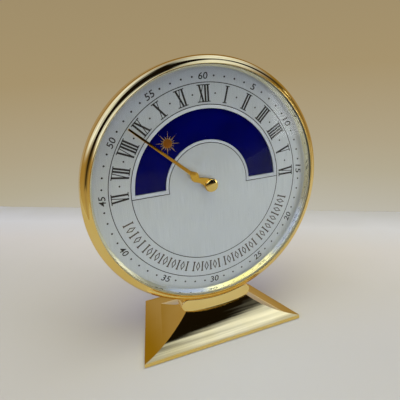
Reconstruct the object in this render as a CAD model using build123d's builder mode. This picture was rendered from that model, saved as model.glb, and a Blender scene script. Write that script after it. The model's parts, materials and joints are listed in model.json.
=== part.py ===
"""Desk clock: one minute hand, and a sun that shows the hour through a half-ring window.

Lengths are millimetres and angles degrees. The clock faces -Y and stands on Z = 0. Depths are
given as `ahead`: how far in front of the dial's face, so that pieces behind it are negative.
Places on the dial and in the movement are (x, z) from the clock's centre, seen from the front.
"""
from build123d import *
from math import asin, atan2, cos, degrees, hypot, radians, sin, sqrt
import os

os.makedirs("parts", exist_ok=True)

# Stance
saddle_height = 14.0
foot_front_reach = 14.3
foot_depth = 54.1
foot_half_width = 46.0
foot_rear_half_width = 32.4
foot_slab_height = 2.5
foot_top_half_width = 18.5
foot_edge_gap = 0.4
front_hollow = 1.3
side_hollow = 2.1
rear_hollow = 1.6
foot_edge_round = 0.35

# Neck between foot and case
neck_thickness = 7.0
neck_half_angle = 17.4
neck_edge_round = 0.45
neck_ahead = 1.9

# Case and bezel
case_radius = 65.0
band_width = 2.2
band_rise = 2.1
cove_width = 1.9
cove_rise = 1.1
lip_width = 0.3
lip_thickness = 0.6
bezel_wall = 2.4
spigot_wall = 1.1
spigot_height = 2.4
case_joint_ahead = -0.5
case_depth = 5.0
pan_thickness = 1.2
dial_shoulder = 2.5

# Crystal, its gasket and the polished ring under it
crystal_thickness = 1.4
crystal_rise = 4.6
crystal_flange = 1.2
gasket_thickness = 0.3
gasket_width = 0.9
reflector_height = 2.6
reflector_foot_width = 2.0
reflector_top_width = 1.1

# Dial and the disc behind it
dial_thickness = 0.8
window_outer_radius = 39.05
window_inner_radius = 23.2
dial_bore_clearance = 0.6
disc_gap = 0.4
disc_thickness = 0.6
disc_overlap = 1.45
emblem_thickness = 0.12
sun_body_radius = 2.7
sun_valley_radius = 2.3
sun_short_ray = 4.3
sun_long_ray = 6.5
sun_rays = 16
sun_turn = 40.7
moon_radius = 4.2
moon_bite_radius = 3.6
moon_bite_shift = 1.9

# Minute hand
hand_turn = 49.9
hand_length = 51.8
hand_shoulder_height = 14.0
hand_thickness = 0.5
hand_ahead = 3.0
hand_boss_radius = 3.6
hand_tip_width = 0.45
hand_nut_radius = 3.3
hand_nut_height = 1.1
hand_nut_round = 0.5

# Movement can and cover
can_inner_radius = 33.0
can_wall = 2.4
can_depth = 20.5
can_flange_width = 6.6
can_flange_thickness = 1.2
can_opening_radius = 27.0
pan_opening_step = 1.0
cover_thickness = 1.2
cover_edge_round = 0.4

# Movement plates and pillars
plate_radius = 31.5
plate_thickness = 1.6
plate_spacing = 12.7
pillar_radius = 1.8
pillar_spigot_radius = 1.0
pillar_circle_radius = 27.5
pillar_angles = (-150, -30, 60, 135)

# Screws: shank radius, head radius, head height
small_shank = 0.7
small_head = 1.4
small_head_height = 0.8
screw_grip = 2.8
clamp_shank = 1.25
clamp_head = 2.2
clamp_head_height = 1.8
clamp_spread = 9.0
clamp_depth_in_case = 3.6
slot_width = 0.35
slot_depth = 0.35
pan_screw_circle_radius = 38.5
pan_screw_angles = (45, 135, 225, 315)
movement_screw_circle_radius = 29.4
movement_screw_angles = (10, 95, 185)
cover_screw_angles = (30, 150, 270)

# Base under the foot
base_recess_margin = 1.5
base_plate_thickness = 1.2
felt_thickness = 0.8
felt_margin = 1.2
base_screw_length = 3.0
base_screw_head_height = 0.7
base_screw_front = (24.0, 9.0)
base_screw_rear = (16.0, 17.0)
foot_pocket_half_width = 13.0
foot_pocket_depth = 9.5
foot_pocket_height = 9.4

# Clearances
running_clearance = 0.05
seat_clearance = 0.05
end_shake = 0.3

# Teeth: share of the pitch, tip and root in modules, crown as a share of the tooth
wheel_share = 0.44
wheel_tip = 1.15
wheel_root = 1.3
wheel_crown = 0.35
pinion_share = 0.36
pinion_tip = 0.7
pinion_root = 1.45
pinion_crown = 0.45

# Motion work under the dial
motion_module = 0.35
day_module = 0.30
cannon_leaves = 12
minute_teeth = 48
minute_leaves = 10
day_teeth = 60
setting_leaves = 12
motion_wheel_thickness = 0.8
motion_gap = 0.8
minute_direction = 200
setting_direction = 200
centre_arbor_radius = 0.6
cannon_pipe_radius = 1.4
cannon_seat_radius = 1.1
day_pipe_wall = 0.8
day_hub_radius = 3.4
minute_stud_radius = 0.5
setting_arbor_radius = 0.75
setting_knob_radius = 4.5
setting_knob_height = 4.0
setting_knob_ridges = 24
setting_knob_groove = 0.35
knob_gap = 0.8

# Going train: teeth, leaves and modules, and the direction of each arbor from the one before
barrel_teeth, second_leaves, barrel_module = 72, 12, 0.36
second_teeth, centre_leaves, second_module = 80, 10, 0.26
centre_teeth, third_leaves, centre_module = 80, 10, 0.22
third_teeth, fourth_leaves, third_module = 75, 10, 0.20
fourth_teeth, escape_leaves, fourth_module = 70, 7, 0.18
second_direction = -24.2
barrel_direction = -134.9
third_direction = 135.0
fourth_direction = 45.2
escape_direction = 27.0
balance_direction = -26.8
train_wheel_thickness = 0.5
pinion_length = 1.3
train_arbor_radius = 0.35
pivot_radius = 0.2
crossing_rim = 1.5
crossing_hub = 1.6
crossings = 5
crossing_fill = 0.75
wheel_gap = 0.8
leaf_lead = 0.4
third_wheel_ahead = -12.0
fourth_wheel_ahead = -15.4
escape_wheel_ahead = -12.0
balance_ahead = -18.9

# Barrel, spring, ratchet and click
barrel_floor = 1.2
barrel_wall = 0.8
barrel_height = 7.7
barrel_tooth_margin = 1.2
barrel_front_gap = 0.6
barrel_lid_thickness = 0.8
barrel_core_radius = 2.8
barrel_arbor_radius = 1.2
mainspring_thickness = 0.25
mainspring_turns = 7
spiral_steps = 24
ratchet_radius = 6.0
ratchet_teeth = 24
ratchet_tooth_depth = 0.8
ratchet_thickness = 1.0
ratchet_gap = 0.3
click_direction = 20.0
click_span = 30.0
click_distance = 9.5
click_hub_radius = 1.5
click_root_half_width = 1.2
click_screw_radius = 0.6
click_clear = 0.08
click_spring_thickness = 0.3
click_spring_post_radius = 1.2
click_spring_back = 3.0
click_spring_side = 3.2
click_spring_short = 0.3
click_spring_lift = 0.8
key_hub_radius = 3.2
key_hub_height = 4.6
key_wing_half_width = 10.0
key_wing_height = 5.6
key_wing_thickness = 2.0
key_wing_sunk = 2.0

# Escapement
escape_radius = 4.5
escape_wheel_teeth = 15
escape_rim = 1.1
escape_tooth_back = 5.0
escape_tooth_half = 1.0
escape_tooth_front = 2.0
pallet_distance = 5.2
pallet_half_span = 30.0
pallet_clear = 0.08
pallet_length = 0.9
pallet_width = 0.35
lever_thickness = 0.5
lever_width = 0.9
bridge_reach = 7.0
bridge_width = 2.4
bridge_thickness = 0.8
bridge_post_radius = 1.3
fork_clear = 0.1
balance_distance = 10.4
balance_radius = 8.0
balance_rim = 0.9
balance_height = 0.9
balance_arm_width = 1.0
staff_radius = 0.45
roller_radius = 1.7
roller_thickness = 0.5
impulse_pin_orbit = 1.2
impulse_pin_radius = 0.15
hairspring_thickness = 0.1
hairspring_turns = 6
hairspring_height = 0.35
hairspring_inner_radius = 0.9
hairspring_outer_radius = 4.2
cap_radius = 2.5
cap_height = 1.2
regulator_width = 1.4
regulator_reach = 12.0
regulator_thickness = 0.5
regulator_half_range = 20.0
regulator_pin_radius = 0.5
regulator_pin_above_cover = 0.8

# Places that follow from the sizes
centre_height = saddle_height + neck_thickness + case_radius
dial_y = foot_front_reach - foot_depth / 2
band_edge_radius = case_radius - band_width
lip_outer_radius = band_edge_radius - cove_width
lip_radius = lip_outer_radius - lip_width
bezel_bore = case_radius - bezel_wall
spigot_radius = bezel_bore - seat_clearance
nest_radius = spigot_radius - spigot_wall
nested_radius = nest_radius - seat_clearance
crystal_ahead = reflector_height + gasket_thickness
lip_under = crystal_ahead + crystal_thickness
lip_ahead = lip_under + lip_thickness
band_edge_ahead = lip_ahead - cove_rise
band_foot_ahead = band_edge_ahead - band_rise
dial_back = -dial_thickness
disc_front = dial_back - disc_gap
disc_back = disc_front - disc_thickness
disc_radius = window_outer_radius + disc_overlap
emblem_circle_radius = (window_outer_radius + window_inner_radius) / 2
case_back = case_joint_ahead - case_depth
pan_front = case_back + pan_thickness
flange_back = case_back - can_flange_thickness
can_outer_radius = can_inner_radius + can_wall
cover_front = case_back - can_depth
cover_back = cover_front - cover_thickness
front_plate_back = flange_back - plate_thickness
back_plate_front = front_plate_back - plate_spacing
back_plate_back = back_plate_front - plate_thickness
knob_front = cover_back - knob_gap


def polar(radius, angle, start=(0, 0)):
    """The point at a distance and an anticlockwise angle from `start`."""
    return (start[0] + radius * cos(radians(angle)), start[1] + radius * sin(radians(angle)))


def front(ahead, at=(0, 0), turn=0):
    """A plane that faces the viewer, `ahead` of the dial, centred at (x, z) of the clock."""
    return Plane(
        origin=(at[0], dial_y - ahead, centre_height + at[1]),
        x_dir=(cos(radians(turn)), 0, sin(radians(turn))),
        z_dir=(0, -1, 0),
    )


def turning(at=(0, 0)):
    """A plane through an arbor: local x is the radius and local y points to the viewer."""
    return Plane(origin=(at[0], dial_y, centre_height + at[1]), x_dir=(1, 0, 0), z_dir=(0, 0, -1))


def axis_at(at=(0, 0)):
    """The axis of an arbor at (x, z)."""
    return Axis((at[0], dial_y, centre_height + at[1]), (0, -1, 0))


def tooth_points(teeth, module, phase, share, tip, root, crown):
    """The outline of a toothed wheel with a tooth centred on the angle `phase`."""
    pitch_radius = teeth * module / 2
    half = share * 180 / teeth
    root_radius = pitch_radius - root * module
    tip_radius = pitch_radius + tip * module
    points = []
    for tooth in range(teeth):
        middle = phase + tooth * 360 / teeth
        points.append(polar(root_radius, middle - half))
        points.append(polar(pitch_radius, middle - half))
        points.append(polar(tip_radius, middle - crown * half))
        points.append(polar(tip_radius, middle + crown * half))
        points.append(polar(pitch_radius, middle + half))
        points.append(polar(root_radius, middle + half))
    return points


def wheel_points(teeth, module, phase):
    """The outline of a wheel."""
    return tooth_points(teeth, module, phase, wheel_share, wheel_tip, wheel_root, wheel_crown)


def leaf_points(leaves, module, phase):
    """The outline of a pinion."""
    return tooth_points(leaves, module, phase, pinion_share, pinion_tip, pinion_root, pinion_crown)


def gap_phase(direction, leaves):
    """The phase that turns a pinion's gap back along the line of centres."""
    return direction + 180 + 180 / leaves


def crossing_holes(teeth, module, hub):
    """The circle and the radius of the round holes that lighten a wheel."""
    rim = teeth * module / 2 - wheel_root * module - crossing_rim
    return (hub + rim) / 2, (rim - hub) / 2 * crossing_fill


def spiral_points(inner, outer, turns, thickness):
    """The outline of a flat ribbon wound from the inner radius to the outer one."""
    count = turns * spiral_steps
    near, far = [], []
    for step in range(count + 1):
        radius = inner + (outer - inner) * step / count
        angle = 360 * step / spiral_steps
        near.append(polar(radius - thickness / 2, angle))
        far.append(polar(radius + thickness / 2, angle))
    return near + far[::-1]


def slotted_screws(points, seat, tip, shank, head, head_height):
    """Slotted screws with heads behind `seat` and shanks forward to `tip`."""
    with BuildPart() as screws:
        with BuildSketch(front(seat)):
            with Locations(*points):
                Circle(shank)
        extrude(amount=tip - seat)
        with BuildSketch(front(seat - head_height)):
            with Locations(*points):
                Circle(head)
        extrude(amount=head_height)
        with BuildSketch(front(seat - head_height)):
            with Locations(*points):
                Rectangle(3 * head, slot_width)
        extrude(amount=slot_depth, mode=Mode.SUBTRACT)
    return screws


# Centres of the arbors, each from the one that drives it
centre_at = (0, 0)
motion_distance = (cannon_leaves + minute_teeth) * motion_module / 2
minute_at = polar(motion_distance, minute_direction)
setting_at = polar((minute_teeth + setting_leaves) * motion_module / 2, setting_direction, minute_at)
second_at = polar((second_teeth + centre_leaves) * second_module / 2, second_direction)
barrel_distance = (barrel_teeth + second_leaves) * barrel_module / 2
barrel_at = polar(barrel_distance, barrel_direction, second_at)
third_at = polar((centre_teeth + third_leaves) * centre_module / 2, third_direction)
fourth_at = polar((third_teeth + fourth_leaves) * third_module / 2, fourth_direction, third_at)
escape_distance = (fourth_teeth + escape_leaves) * fourth_module / 2
escape_at = polar(escape_distance, escape_direction, fourth_at)
pallet_at = polar(pallet_distance, balance_direction, escape_at)
balance_at = polar(balance_distance, balance_direction, escape_at)
bridge_post_points = [
    polar(bridge_reach, balance_direction - 90, pallet_at),
    polar(bridge_reach, balance_direction + 90, pallet_at),
]

# Heights of the train's wheels
barrel_front = front_plate_back - barrel_front_gap
barrel_back = barrel_front - barrel_height
second_wheel_ahead = barrel_back - wheel_gap
centre_leaf_ahead = second_wheel_ahead + leaf_lead
centre_wheel_ahead = centre_leaf_ahead - pinion_length - leaf_lead
day_wheel_ahead = disc_back - motion_gap
minute_wheel_ahead = day_wheel_ahead - motion_wheel_thickness - motion_gap

# Bezel: a flat outer band and a flatter inner one up to a thin lip over the crystal
with BuildPart() as bezel:
    with BuildSketch(turning()):
        with BuildLine():
            Polyline(
                (case_radius, case_joint_ahead),
                (case_radius, band_foot_ahead),
                (band_edge_radius, band_edge_ahead),
                (lip_outer_radius, lip_ahead),
                (lip_radius, lip_ahead),
                (lip_radius, lip_under),
                (nest_radius, lip_under),
                (nest_radius, spigot_height + seat_clearance),
                (bezel_bore, spigot_height + seat_clearance),
                (bezel_bore, case_joint_ahead),
                close=True,
            )
        make_face()
    revolve(axis=axis_at())
bezel.part.label = "bezel"
export_step(bezel.part, "parts/bezel.step")

# Crystal: a domed glass with a flat flange under the lip
dome_radius = nested_radius - crystal_flange
with BuildPart() as crystal:
    with BuildSketch(turning()):
        with BuildLine():
            TangentArc((0, lip_under + crystal_rise), (dome_radius, lip_under), tangent=(1, 0))
            Polyline(
                (dome_radius, lip_under),
                (nested_radius, lip_under),
                (nested_radius, crystal_ahead),
                (dome_radius, crystal_ahead),
            )
            TangentArc((0, crystal_ahead + crystal_rise), (dome_radius, crystal_ahead), tangent=(1, 0))
            Line((0, crystal_ahead + crystal_rise), (0, lip_under + crystal_rise))
        make_face()
    revolve(axis=axis_at())
crystal.part.label = "crystal"
export_step(crystal.part, "parts/crystal.step")

# Gasket between the crystal's flange and the reflector ring
with BuildPart() as crystal_gasket:
    with BuildSketch(front(reflector_height)):
        Circle(nested_radius)
        Circle(nested_radius - gasket_width, mode=Mode.SUBTRACT)
    extrude(amount=gasket_thickness)
crystal_gasket.part.label = "crystal_gasket"
export_step(crystal_gasket.part, "parts/crystal_gasket.step")

# Reflector ring: the polished wall between the dial's edge and the crystal
with BuildPart() as reflector_ring:
    with BuildSketch(turning()):
        with BuildLine():
            Polyline(
                (nested_radius - reflector_foot_width, 0),
                (nested_radius - reflector_top_width, reflector_height),
                (nested_radius, reflector_height),
                (nested_radius, 0),
                close=True,
            )
        make_face()
    revolve(axis=axis_at())
reflector_ring.part.label = "reflector_ring"
export_step(reflector_ring.part, "parts/reflector_ring.step")

# Dial plate with its half-ring window over the sun disc
with BuildPart() as dial_plate:
    with BuildSketch(front(dial_back)):
        Circle(nested_radius)
        Circle(cannon_pipe_radius + dial_bore_clearance, mode=Mode.SUBTRACT)
    extrude(amount=dial_thickness)
    with BuildSketch(front(dial_back)):
        with BuildLine():
            CenterArc((0, 0), window_outer_radius, 0, 180)
            Line((-window_outer_radius, 0), (-window_inner_radius, 0))
            CenterArc((0, 0), window_inner_radius, 0, 180)
            Line((window_inner_radius, 0), (window_outer_radius, 0))
        make_face()
    extrude(amount=dial_thickness, mode=Mode.SUBTRACT)
dial_plate.part.label = "dial_plate"
export_step(dial_plate.part, "parts/dial_plate.step")

# Case ring: outer wall, spigot for the bezel, shoulder under the dial and rear pan
clamp_ahead = (dial_back + pan_front) / 2
clamp_y = dial_y - clamp_ahead
clamp_tip = centre_height - sqrt(case_radius**2 - clamp_spread**2) + clamp_depth_in_case
pan_opening = can_opening_radius + pan_opening_step
pan_screw_points = [polar(pan_screw_circle_radius, angle) for angle in pan_screw_angles]
with BuildPart() as case_ring:
    with BuildSketch(turning()):
        with BuildLine():
            Polyline(
                (case_radius, case_back),
                (case_radius, case_joint_ahead),
                (spigot_radius, case_joint_ahead),
                (spigot_radius, spigot_height),
                (nest_radius, spigot_height),
                (nest_radius, dial_back),
                (nest_radius - dial_shoulder, dial_back),
                (nest_radius - dial_shoulder, pan_front),
                (pan_opening, pan_front),
                (pan_opening, case_back),
                close=True,
            )
        make_face()
    revolve(axis=axis_at())
    with BuildSketch(front(case_back)):
        with Locations(*pan_screw_points):
            Circle(small_shank)
    extrude(amount=pan_thickness, mode=Mode.SUBTRACT)
    with BuildSketch(Plane.XY):
        with Locations((-clamp_spread, clamp_y), (clamp_spread, clamp_y)):
            Circle(clamp_shank)
    extrude(amount=clamp_tip, mode=Mode.SUBTRACT)
case_ring.part.label = "case_ring"
export_step(case_ring.part, "parts/case_ring.step")

# Foot: hollow-ground faces rise from a trapezium slab to a narrow saddle under the neck
saddle_radius = case_radius + neck_thickness
foot_front_y = -foot_depth / 2
foot_rear_y = foot_depth / 2
neck_front_y = dial_y - neck_ahead
neck_rear_y = dial_y - case_back
foot_top = centre_height - sqrt(saddle_radius**2 - foot_top_half_width**2)
foot_taper = atan2(foot_half_width - foot_rear_half_width, foot_depth)
side_reach = (foot_half_width - foot_top_half_width) * cos(foot_taper)
side_reach -= (neck_front_y - foot_front_y) * sin(foot_taper)
recess_top = felt_thickness + base_plate_thickness


def foot_plan(margin):
    """The slab's four corners, drawn in by `margin` on every side."""
    slant = margin / cos(foot_taper)
    front_half = foot_half_width - margin * (foot_half_width - foot_rear_half_width) / foot_depth - slant
    rear_half = foot_rear_half_width + margin * (foot_half_width - foot_rear_half_width) / foot_depth - slant
    return [
        (-front_half, foot_front_y + margin),
        (front_half, foot_front_y + margin),
        (rear_half, foot_rear_y - margin),
        (-rear_half, foot_rear_y - margin),
    ]


base_screw_points = [
    (-base_screw_front[0], foot_front_y + base_screw_front[1]),
    (base_screw_front[0], foot_front_y + base_screw_front[1]),
    (-base_screw_rear[0], foot_rear_y - base_screw_rear[1]),
    (base_screw_rear[0], foot_rear_y - base_screw_rear[1]),
]
with BuildPart() as foot_body:
    with BuildSketch(Plane.YZ):
        with BuildLine():
            Polyline(
                (foot_front_y, foot_slab_height),
                (foot_front_y, foot_edge_gap),
                (foot_rear_y, foot_edge_gap),
                (foot_rear_y, foot_slab_height),
            )
            SagittaArc((foot_rear_y, foot_slab_height), (neck_rear_y, foot_top), rear_hollow)
            Line((neck_rear_y, foot_top), (neck_front_y, foot_top))
            SagittaArc((neck_front_y, foot_top), (foot_front_y, foot_slab_height), front_hollow)
        make_face()
    extrude(amount=foot_half_width, both=True)
    for side in (1, -1):
        inward = Vector(-side * cos(foot_taper), -sin(foot_taper), 0)
        corner = Vector(side * foot_half_width, foot_front_y, 0)
        with BuildSketch(Plane(origin=corner, x_dir=inward, z_dir=inward.cross(Vector(0, 0, 1)))):
            with BuildLine():
                Polyline(
                    (side_reach, foot_top),
                    (side_reach, centre_height),
                    (-foot_half_width, centre_height),
                    (-foot_half_width, 0),
                    (0, 0),
                    (0, foot_slab_height),
                )
                SagittaArc((0, foot_slab_height), (side_reach, foot_top), -side_hollow)
            make_face()
        extrude(amount=2 * foot_depth, both=True, mode=Mode.SUBTRACT)
    with BuildSketch(front(case_back - foot_depth)):
        Circle(saddle_radius)
    extrude(amount=2 * foot_depth, mode=Mode.SUBTRACT)
    curved = foot_body.edges().filter_by(GeomType.LINE, reverse=True)
    ridges = curved.filter_by(lambda edge: edge.center().Z > foot_slab_height + seat_clearance)
    fillet(ridges, radius=foot_edge_round)
    with BuildSketch(Plane.XY):
        with BuildLine():
            Polyline(*foot_plan(base_recess_margin - seat_clearance), close=True)
        make_face()
    extrude(amount=recess_top, mode=Mode.SUBTRACT)
    with BuildSketch(Plane.XY):
        with Locations((0, clamp_y)):
            Rectangle(2 * foot_pocket_half_width, foot_pocket_depth)
    extrude(amount=foot_pocket_height, mode=Mode.SUBTRACT)
    with BuildSketch(Plane.XY):
        with Locations((-clamp_spread, clamp_y), (clamp_spread, clamp_y)):
            Circle(clamp_shank + seat_clearance)
    extrude(amount=centre_height - case_radius, mode=Mode.SUBTRACT)
    with BuildSketch(Plane.XY):
        with Locations(*base_screw_points):
            Circle(small_shank)
    extrude(amount=felt_thickness + base_screw_length, mode=Mode.SUBTRACT)
foot_body.part.label = "foot_body"
export_step(foot_body.part, "parts/foot_body.step")

# Neck: a rounded bar bent round the case
neck_radius = case_radius + neck_thickness / 2
neck_sweep = neck_half_angle - degrees(asin(neck_thickness / 2 / neck_radius))
neck_line = CenterArc((0, 0), neck_radius, -90 - neck_sweep, 2 * neck_sweep)
with BuildPart() as neck_block:
    with BuildSketch(front(case_back)):
        SlotArc(neck_line, neck_thickness)
    extrude(amount=neck_ahead - case_back)
    fillet(neck_block.faces().sort_by(Axis.Y)[0].edges(), radius=neck_edge_round)
    with BuildSketch(Plane.XY):
        with Locations((-clamp_spread, clamp_y), (clamp_spread, clamp_y)):
            Circle(clamp_shank + seat_clearance)
    extrude(amount=centre_height, mode=Mode.SUBTRACT)
neck_block.part.label = "neck_block"
export_step(neck_block.part, "parts/neck_block.step")

# Clamp screws: up through foot and neck into the case ring
with BuildPart() as clamp_screws:
    with BuildSketch(Plane.XY.offset(foot_pocket_height)):
        with Locations((-clamp_spread, clamp_y), (clamp_spread, clamp_y)):
            Circle(clamp_shank)
    extrude(amount=clamp_tip - foot_pocket_height)
    with BuildSketch(Plane.XY.offset(foot_pocket_height - clamp_head_height)):
        with Locations((-clamp_spread, clamp_y), (clamp_spread, clamp_y)):
            Circle(clamp_head)
    extrude(amount=clamp_head_height)
    with BuildSketch(Plane.XY.offset(foot_pocket_height - clamp_head_height)):
        with Locations((-clamp_spread, clamp_y), (clamp_spread, clamp_y)):
            Rectangle(3 * clamp_head, slot_width)
    extrude(amount=slot_depth, mode=Mode.SUBTRACT)
clamp_screws.part.label = "clamp_screws"
export_step(clamp_screws.part, "parts/clamp_screws.step")

# Base plate let into the foot's underside, its countersunk screws and the felt
with BuildPart() as base_plate:
    with BuildSketch(Plane.XY.offset(felt_thickness)):
        with BuildLine():
            Polyline(*foot_plan(base_recess_margin), close=True)
        make_face()
    extrude(amount=base_plate_thickness)
    with Locations(*[(x, y, felt_thickness) for x, y in base_screw_points]):
        Cone(
            small_head, small_shank, base_screw_head_height,
            align=(Align.CENTER, Align.CENTER, Align.MIN), mode=Mode.SUBTRACT,
        )
        Cylinder(
            small_shank, base_plate_thickness,
            align=(Align.CENTER, Align.CENTER, Align.MIN), mode=Mode.SUBTRACT,
        )
base_plate.part.label = "base_plate"
export_step(base_plate.part, "parts/base_plate.step")

with BuildPart() as base_screws:
    with Locations(*[(x, y, felt_thickness) for x, y in base_screw_points]):
        Cone(small_head, small_shank, base_screw_head_height, align=(Align.CENTER, Align.CENTER, Align.MIN))
        Cylinder(small_shank, base_screw_length, align=(Align.CENTER, Align.CENTER, Align.MIN))
base_screws.part.label = "base_screws"
export_step(base_screws.part, "parts/base_screws.step")

with BuildPart() as felt_pad:
    with BuildSketch(Plane.XY):
        with BuildLine():
            Polyline(*foot_plan(base_recess_margin + felt_margin), close=True)
        make_face()
    extrude(amount=felt_thickness)
felt_pad.part.label = "felt_pad"
export_step(felt_pad.part, "parts/felt_pad.step")

# Movement can: a flange on the case's pan, and a wall back to the cover
cover_screw_circle_radius = can_inner_radius + can_wall / 2
movement_screw_points = [polar(movement_screw_circle_radius, angle) for angle in movement_screw_angles]
cover_screw_points = [polar(cover_screw_circle_radius, angle) for angle in cover_screw_angles]
with BuildPart() as movement_can:
    with BuildSketch(turning()):
        with BuildLine():
            Polyline(
                (can_opening_radius, case_back),
                (can_outer_radius + can_flange_width, case_back),
                (can_outer_radius + can_flange_width, flange_back),
                (can_outer_radius, flange_back),
                (can_outer_radius, cover_front),
                (can_inner_radius, cover_front),
                (can_inner_radius, flange_back),
                (can_opening_radius, flange_back),
                close=True,
            )
        make_face()
    revolve(axis=axis_at())
    with BuildSketch(front(flange_back)):
        with Locations(*pan_screw_points, *movement_screw_points):
            Circle(small_shank)
    extrude(amount=can_flange_thickness, mode=Mode.SUBTRACT)
    with BuildSketch(front(cover_front)):
        with Locations(*cover_screw_points):
            Circle(small_shank)
    extrude(amount=screw_grip, mode=Mode.SUBTRACT)
movement_can.part.label = "movement_can"
export_step(movement_can.part, "parts/movement_can.step")

pan_screws = slotted_screws(
    pan_screw_points, flange_back, pan_front, small_shank, small_head, small_head_height
)
pan_screws.part.label = "pan_screws"
export_step(pan_screws.part, "parts/pan_screws.step")

# Back cover with holes for the key and the setting arbor and a slot for the regulator's pin
regulator_direction = degrees(atan2(balance_at[1], balance_at[0]))
regulator_slot = CenterArc(
    (0, 0), regulator_reach, regulator_direction - regulator_half_range, 2 * regulator_half_range
)
with BuildPart() as back_cover:
    with BuildSketch(front(cover_back)):
        Circle(can_outer_radius)
        with Locations(barrel_at):
            Circle(barrel_arbor_radius + 2 * running_clearance, mode=Mode.SUBTRACT)
        with Locations(setting_at):
            Circle(setting_arbor_radius + 2 * running_clearance, mode=Mode.SUBTRACT)
        with Locations(*cover_screw_points):
            Circle(small_shank, mode=Mode.SUBTRACT)
    extrude(amount=cover_thickness)
    fillet(back_cover.faces().sort_by(Axis.Y)[-1].outer_wire().edges(), radius=cover_edge_round)
    with BuildSketch(front(cover_back, balance_at)):
        SlotArc(regulator_slot, 2 * (regulator_pin_radius + end_shake))
    extrude(amount=cover_thickness, mode=Mode.SUBTRACT)
back_cover.part.label = "back_cover"
export_step(back_cover.part, "parts/back_cover.step")

cover_screws = slotted_screws(
    cover_screw_points, cover_back, cover_front + screw_grip,
    small_shank, cover_screw_circle_radius - can_inner_radius, small_head_height,
)
cover_screws.part.label = "cover_screws"
export_step(cover_screws.part, "parts/cover_screws.step")

# Movement plates, drilled for every arbor that runs in them
pillar_points = [polar(pillar_circle_radius, angle) for angle in pillar_angles]
pivot_points = [second_at, third_at, fourth_at, escape_at, pallet_at, balance_at]
with BuildPart() as front_plate:
    with BuildSketch(front(front_plate_back)):
        Circle(plate_radius)
        with Locations(*pivot_points):
            Circle(pivot_radius + running_clearance, mode=Mode.SUBTRACT)
        with Locations(centre_at):
            Circle(centre_arbor_radius + running_clearance, mode=Mode.SUBTRACT)
        with Locations(barrel_at):
            Circle(barrel_arbor_radius + running_clearance, mode=Mode.SUBTRACT)
        with Locations(setting_at):
            Circle(setting_arbor_radius + running_clearance, mode=Mode.SUBTRACT)
        with Locations(minute_at):
            Circle(minute_stud_radius, mode=Mode.SUBTRACT)
        with Locations(*pillar_points, *bridge_post_points):
            Circle(pillar_spigot_radius, mode=Mode.SUBTRACT)
        with Locations(*movement_screw_points):
            Circle(small_shank, mode=Mode.SUBTRACT)
    extrude(amount=plate_thickness)
front_plate.part.label = "front_plate"
export_step(front_plate.part, "parts/front_plate.step")

click_at = polar(click_distance, click_direction, barrel_at)
with BuildPart() as back_plate:
    with BuildSketch(front(back_plate_back)):
        Circle(plate_radius)
        with Locations(second_at, third_at, fourth_at, escape_at):
            Circle(pivot_radius + running_clearance, mode=Mode.SUBTRACT)
        with Locations(centre_at):
            Circle(centre_arbor_radius + running_clearance, mode=Mode.SUBTRACT)
        with Locations(barrel_at):
            Circle(barrel_arbor_radius + running_clearance, mode=Mode.SUBTRACT)
        with Locations(setting_at):
            Circle(setting_arbor_radius + running_clearance, mode=Mode.SUBTRACT)
        with Locations(balance_at):
            Circle(cap_radius, mode=Mode.SUBTRACT)
        with Locations(*pillar_points):
            Circle(small_shank, mode=Mode.SUBTRACT)
        with Locations(click_at):
            Circle(click_screw_radius, mode=Mode.SUBTRACT)
    extrude(amount=plate_thickness)
back_plate.part.label = "back_plate"
export_step(back_plate.part, "parts/back_plate.step")

pillar_screw_length = plate_thickness + screw_grip
with BuildPart() as pillars:
    with BuildSketch(front(back_plate_front)):
        with Locations(*pillar_points):
            Circle(pillar_radius)
    extrude(amount=plate_spacing)
    with BuildSketch(front(front_plate_back)):
        with Locations(*pillar_points):
            Circle(pillar_spigot_radius)
    extrude(amount=plate_thickness)
    with BuildSketch(front(back_plate_front)):
        with Locations(*pillar_points):
            Circle(small_shank)
    extrude(amount=pillar_screw_length - plate_thickness, mode=Mode.SUBTRACT)
pillars.part.label = "pillars"
export_step(pillars.part, "parts/pillars.step")

pillar_screws = slotted_screws(
    pillar_points, back_plate_back, back_plate_back + pillar_screw_length,
    small_shank, small_head, small_head_height,
)
pillar_screws.part.label = "pillar_screws"
export_step(pillar_screws.part, "parts/pillar_screws.step")

movement_screws = slotted_screws(
    movement_screw_points, front_plate_back, case_back, small_shank, small_head, small_head_height
)
movement_screws.part.label = "movement_screws"
export_step(movement_screws.part, "parts/movement_screws.step")

# Sun disc behind the dial, with its two emblems, on the pipe of the day wheel
day_bore = cannon_pipe_radius + running_clearance
day_pipe_radius = day_bore + day_pipe_wall
with BuildPart() as sun_disc:
    with BuildSketch(front(disc_back)):
        Circle(disc_radius)
        Circle(day_pipe_radius, mode=Mode.SUBTRACT)
    extrude(amount=disc_thickness)
sun_disc.part.label = "sun_disc"
export_step(sun_disc.part, "parts/sun_disc.step")

sun_points = []
for ray in range(sun_rays):
    reach = sun_long_ray if ray % 2 == 0 else sun_short_ray
    sun_points.append(polar(reach, 90 + ray * 360 / sun_rays))
    sun_points.append(polar(sun_valley_radius, 90 + (ray + 0.5) * 360 / sun_rays))
with BuildPart() as sun_emblem:
    with BuildSketch(front(disc_front, polar(emblem_circle_radius, 90 + sun_turn), sun_turn)):
        with BuildLine():
            Polyline(*sun_points, close=True)
        make_face()
        Circle(sun_body_radius)
    extrude(amount=emblem_thickness)
sun_emblem.part.label = "sun_emblem"
export_step(sun_emblem.part, "parts/sun_emblem.step")

with BuildPart() as moon_emblem:
    with BuildSketch(front(disc_front, polar(emblem_circle_radius, sun_turn - 90), sun_turn + 180)):
        Circle(moon_radius)
        with Locations((moon_bite_shift, 0)):
            Circle(moon_bite_radius, mode=Mode.SUBTRACT)
    extrude(amount=emblem_thickness)
moon_emblem.part.label = "moon_emblem"
export_step(moon_emblem.part, "parts/moon_emblem.step")

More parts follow.
